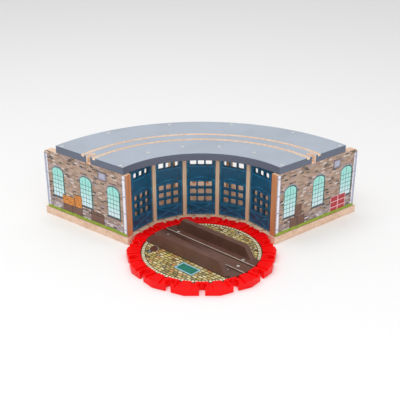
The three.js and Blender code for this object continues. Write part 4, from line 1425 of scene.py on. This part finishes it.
def make_bridge(sizes):
    reach = math.acos(BRIDGE_HALF / DISC_RADIUS)
    outline = arc((0, 0), DISC_RADIUS, reach, math.pi - reach, 40)
    outline += arc((0, 0), DISC_RADIUS, math.pi + reach, 2 * math.pi - reach, 40)
    deck = plate(outline, DECK_BOTTOM, TRACK_TOP)
    grooves = wheel_grooves(-DISC_RADIUS - 5, DISC_RADIUS + 5, MOULDED_GROOVE)
    foot = TRACK_TOP - 1
    girders = []
    for side in (-1, 1):
        low, high = sorted((side * CHANNEL_HALF, side * BRIDGE_HALF))
        base = rectangle(low, high, -GIRDER_FOOT_HALF, GIRDER_FOOT_HALF)
        tops = sorted((side * CHANNEL_HALF, side * (BRIDGE_HALF - GIRDER_LEAN)))
        top = rectangle(*tops, -GIRDER_TOP_HALF, GIRDER_TOP_HALF)
        girders.append(plate(base, foot, GIRDER_TOP, top=top))
    hole = countersink(BRIDGE_SCREW, 7.2)
    holes = [shifted(hole, x, y, TRACK_TOP - SCREW_SINK) for x, y in BRIDGE_SCREW_SPOTS]
    pocket = plate(circle(4.5, 40), DECK_BOTTOM - 1, 9.6)
    solid = softened(carve(carve(deck, girders, "UNION"), grooves), sizes.girder_edge, 3, 30)
    mesh = softened(carve(solid, holes + [pocket]), 0.1, 1, 55)
    colour = tuple(sizes.bridge_colour)
    brown = stock("bridge_plastic", moulded, colour, 0.36, 0.2, 0.12)
    # Groove edge bevels take a pale plastic: a painted highlight along the groove edges.
    wear_and_highlight = stock("rubbed_edge_plastic", moulded, paint(214, 200, 190), 0.3, 0.2)
    edges = [side * RAIL_GAUGE / 2 + MOULDED_GROOVE / 2 for side in (-1, 1)]

    def choose(centre, normal):
        near = any(-0.05 < centre.x - edge < sizes.girder_edge for edge in edges)
        return 1 if near and centre.z > TRACK_TOP - 0.9 and 0.05 < normal.z < 0.99 else 0

    settle(
        "girder_bridge", mesh, [brown, wear_and_highlight], "bridge", ["turntable_bridge"],
        facing(BRIDGE_HEADING), choose,
    )


def make_pivot(sizes):
    low, high = box_mm("pivot_washer")
    ring = plate(circle(8.5, 48), low.z, high.z, [circle(1.8, 24)])
    nylon = stock("nylon", moulded, paint(232, 230, 222), 0.45)
    settle("washer", softened(ring, 0.15), [nylon], "bridge", ["pivot_washer"])
    low, high = box_mm("pivot_screw")
    base = high.z - 1.5
    pin = turned_solid([
        (0, low.z), (1.2, low.z), (1.5, low.z + 0.4), (1.5, base), (3.5, base), (3.5, high.z - 0.7),
        (3.3, high.z - 0.3), (2.7, high.z), (0, high.z),
    ], 32)
    slots = [
        plate(rectangle(-a, a, -b, b), high.z - 0.7, high.z + 1) for a, b in ((2.0, 0.35), (0.35, 2.0))
    ]
    mesh = softened(carve(pin, slots), 0.08)
    steel = bright_steel()
    settle("pivot_pin", mesh, [steel], "bridge", ["pivot_screw"])


# ---- Stage ----

CAMERA_PLACE = (-0.0077, -0.9942, 0.5635)  # metres
CAMERA_DOWN, CAMERA_RIGHT = 25.31, 0.316  # degrees
CAMERA_LENS, CAMERA_SENSOR = 68.69, 36
TABLE_GAP = 0.0002  # keeps the table's face off the base's


def area_light(name, place, aim, size, power, colour=(1, 1, 1)):
    data = bpy.data.lights.new(name, "AREA")
    data.shape = "SQUARE"
    data.size = size
    data.energy = power
    data.color = colour
    obj = bpy.data.objects.new(name, data)
    obj.location = place
    obj.rotation_euler = (Vector(aim) - Vector(place)).to_track_quat("-Z", "Y").to_euler()
    bpy.context.scene.collection.objects.link(obj)


def make_stage():
    floor_mesh = bpy.data.meshes.new("table_top")
    floor_mesh.from_pydata([(-6, -6, 0), (6, -6, 0), (6, 6, 0), (-6, 6, 0)], [], [(0, 1, 2, 3)])
    r = Recipe("table_top", 0.7)
    floor_mesh.materials.append(r.finish((0.985, 0.985, 0.985, 1.0)))
    floor = bpy.data.objects.new("table_top", floor_mesh)
    floor.location.z = -TABLE_GAP
    bpy.context.scene.collection.objects.link(floor)

    world = bpy.data.worlds.new("studio")
    world.use_nodes = True
    sky = world.node_tree.nodes["Background"]
    sky.inputs["Color"].default_value = (1.0, 1.0, 1.0, 1.0)
    sky.inputs["Strength"].default_value = 0.65
    bpy.context.scene.world = world
    area_light("overhead", (-0.3, -0.2, 1.8), (0, 0.1, 0), 1.8, 15)
    area_light("front_fill", (0.5, -1.8, 1.0), (0, 0.1, 0.05), 1.4, 5)

    data = bpy.data.cameras.new("camera")
    data.sensor_width = CAMERA_SENSOR
    data.lens = CAMERA_LENS
    data.clip_start = 0.01
    camera = bpy.data.objects.new("camera", data)
    camera.location = CAMERA_PLACE
    camera.rotation_euler = (math.radians(90 - CAMERA_DOWN), 0, math.radians(-CAMERA_RIGHT))
    bpy.context.scene.collection.objects.link(camera)
    bpy.context.scene.camera = camera
    bpy.context.scene.view_settings.view_transform = "Standard"


# ---- Operators and panel ----


def operator(name, label, text, work):
    """An operator class that does one job with the sizes in the panel."""

    def execute(self, context):
        work(context.scene.engine_shed)
        return {"FINISHED"}

    return type(
        f"ENGINE_SHED_OT_{name}", (bpy.types.Operator,),
        {"bl_idname": f"engine_shed.{name}", "bl_label": label, "__doc__": text, "execute": execute},
    )


OPERATORS = [
    operator("base_board", "Base Board", "Make the beech board under the shed", make_base),
    operator("roof_deck", "Roof", "Make the painted roof with its grooves and sockets", make_roof),
    operator("end_walls", "End Walls", "Make the two printed end walls", make_walls),
    operator("dividers", "Partitions", "Make the partitions between the bays", make_partitions),
    operator("doors", "Doors", "Make the flap doors and their hinge rods", make_doors),
    operator("track_pegs", "Track Pegs", "Make the red pegs that hold the turntable", make_pegs),
    operator("screws", "Screws", "Make every countersunk screw", make_screws),
    operator("ring", "Turntable Ring", "Make the red ring with its track ports", make_ring),
    operator("paved_disc", "Paved Disc", "Make the printed disc", make_disc),
    operator("girder_bridge", "Girder Bridge", "Make the bridge with its two girders", make_bridge),
    operator("pivot", "Pivot", "Make the pivot pin and its washer", make_pivot),
    operator("stage", "Stage", "Make the table, the lights and the camera", lambda sizes: make_stage()),
]


class ENGINE_SHED_PT_sidebar(bpy.types.Panel):
    """Sizes, colours and pieces of the engine shed"""

    bl_label = "Engine Shed"
    bl_space_type = "VIEW_3D"
    bl_region_type = "UI"
    bl_category = "Engine Shed"

    def draw(self, context):
        for key in ShedSizes.__annotations__:
            self.layout.prop(context.scene.engine_shed, key)
        for made in OPERATORS:
            self.layout.operator(made.bl_idname)


CLASSES = [ShedSizes, *OPERATORS, ENGINE_SHED_PT_sidebar]


def register():
    for cls in CLASSES:
        bpy.utils.register_class(cls)
    bpy.types.Scene.engine_shed = PointerProperty(type=ShedSizes)


def unregister():
    del bpy.types.Scene.engine_shed
    for cls in reversed(CLASSES):
        bpy.utils.unregister_class(cls)


def main():
    register()
    for made in OPERATORS:
        group, name = made.bl_idname.split(".")
        getattr(getattr(bpy.ops, group), name)()
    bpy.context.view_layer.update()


if __name__ == "__main__":
    main()
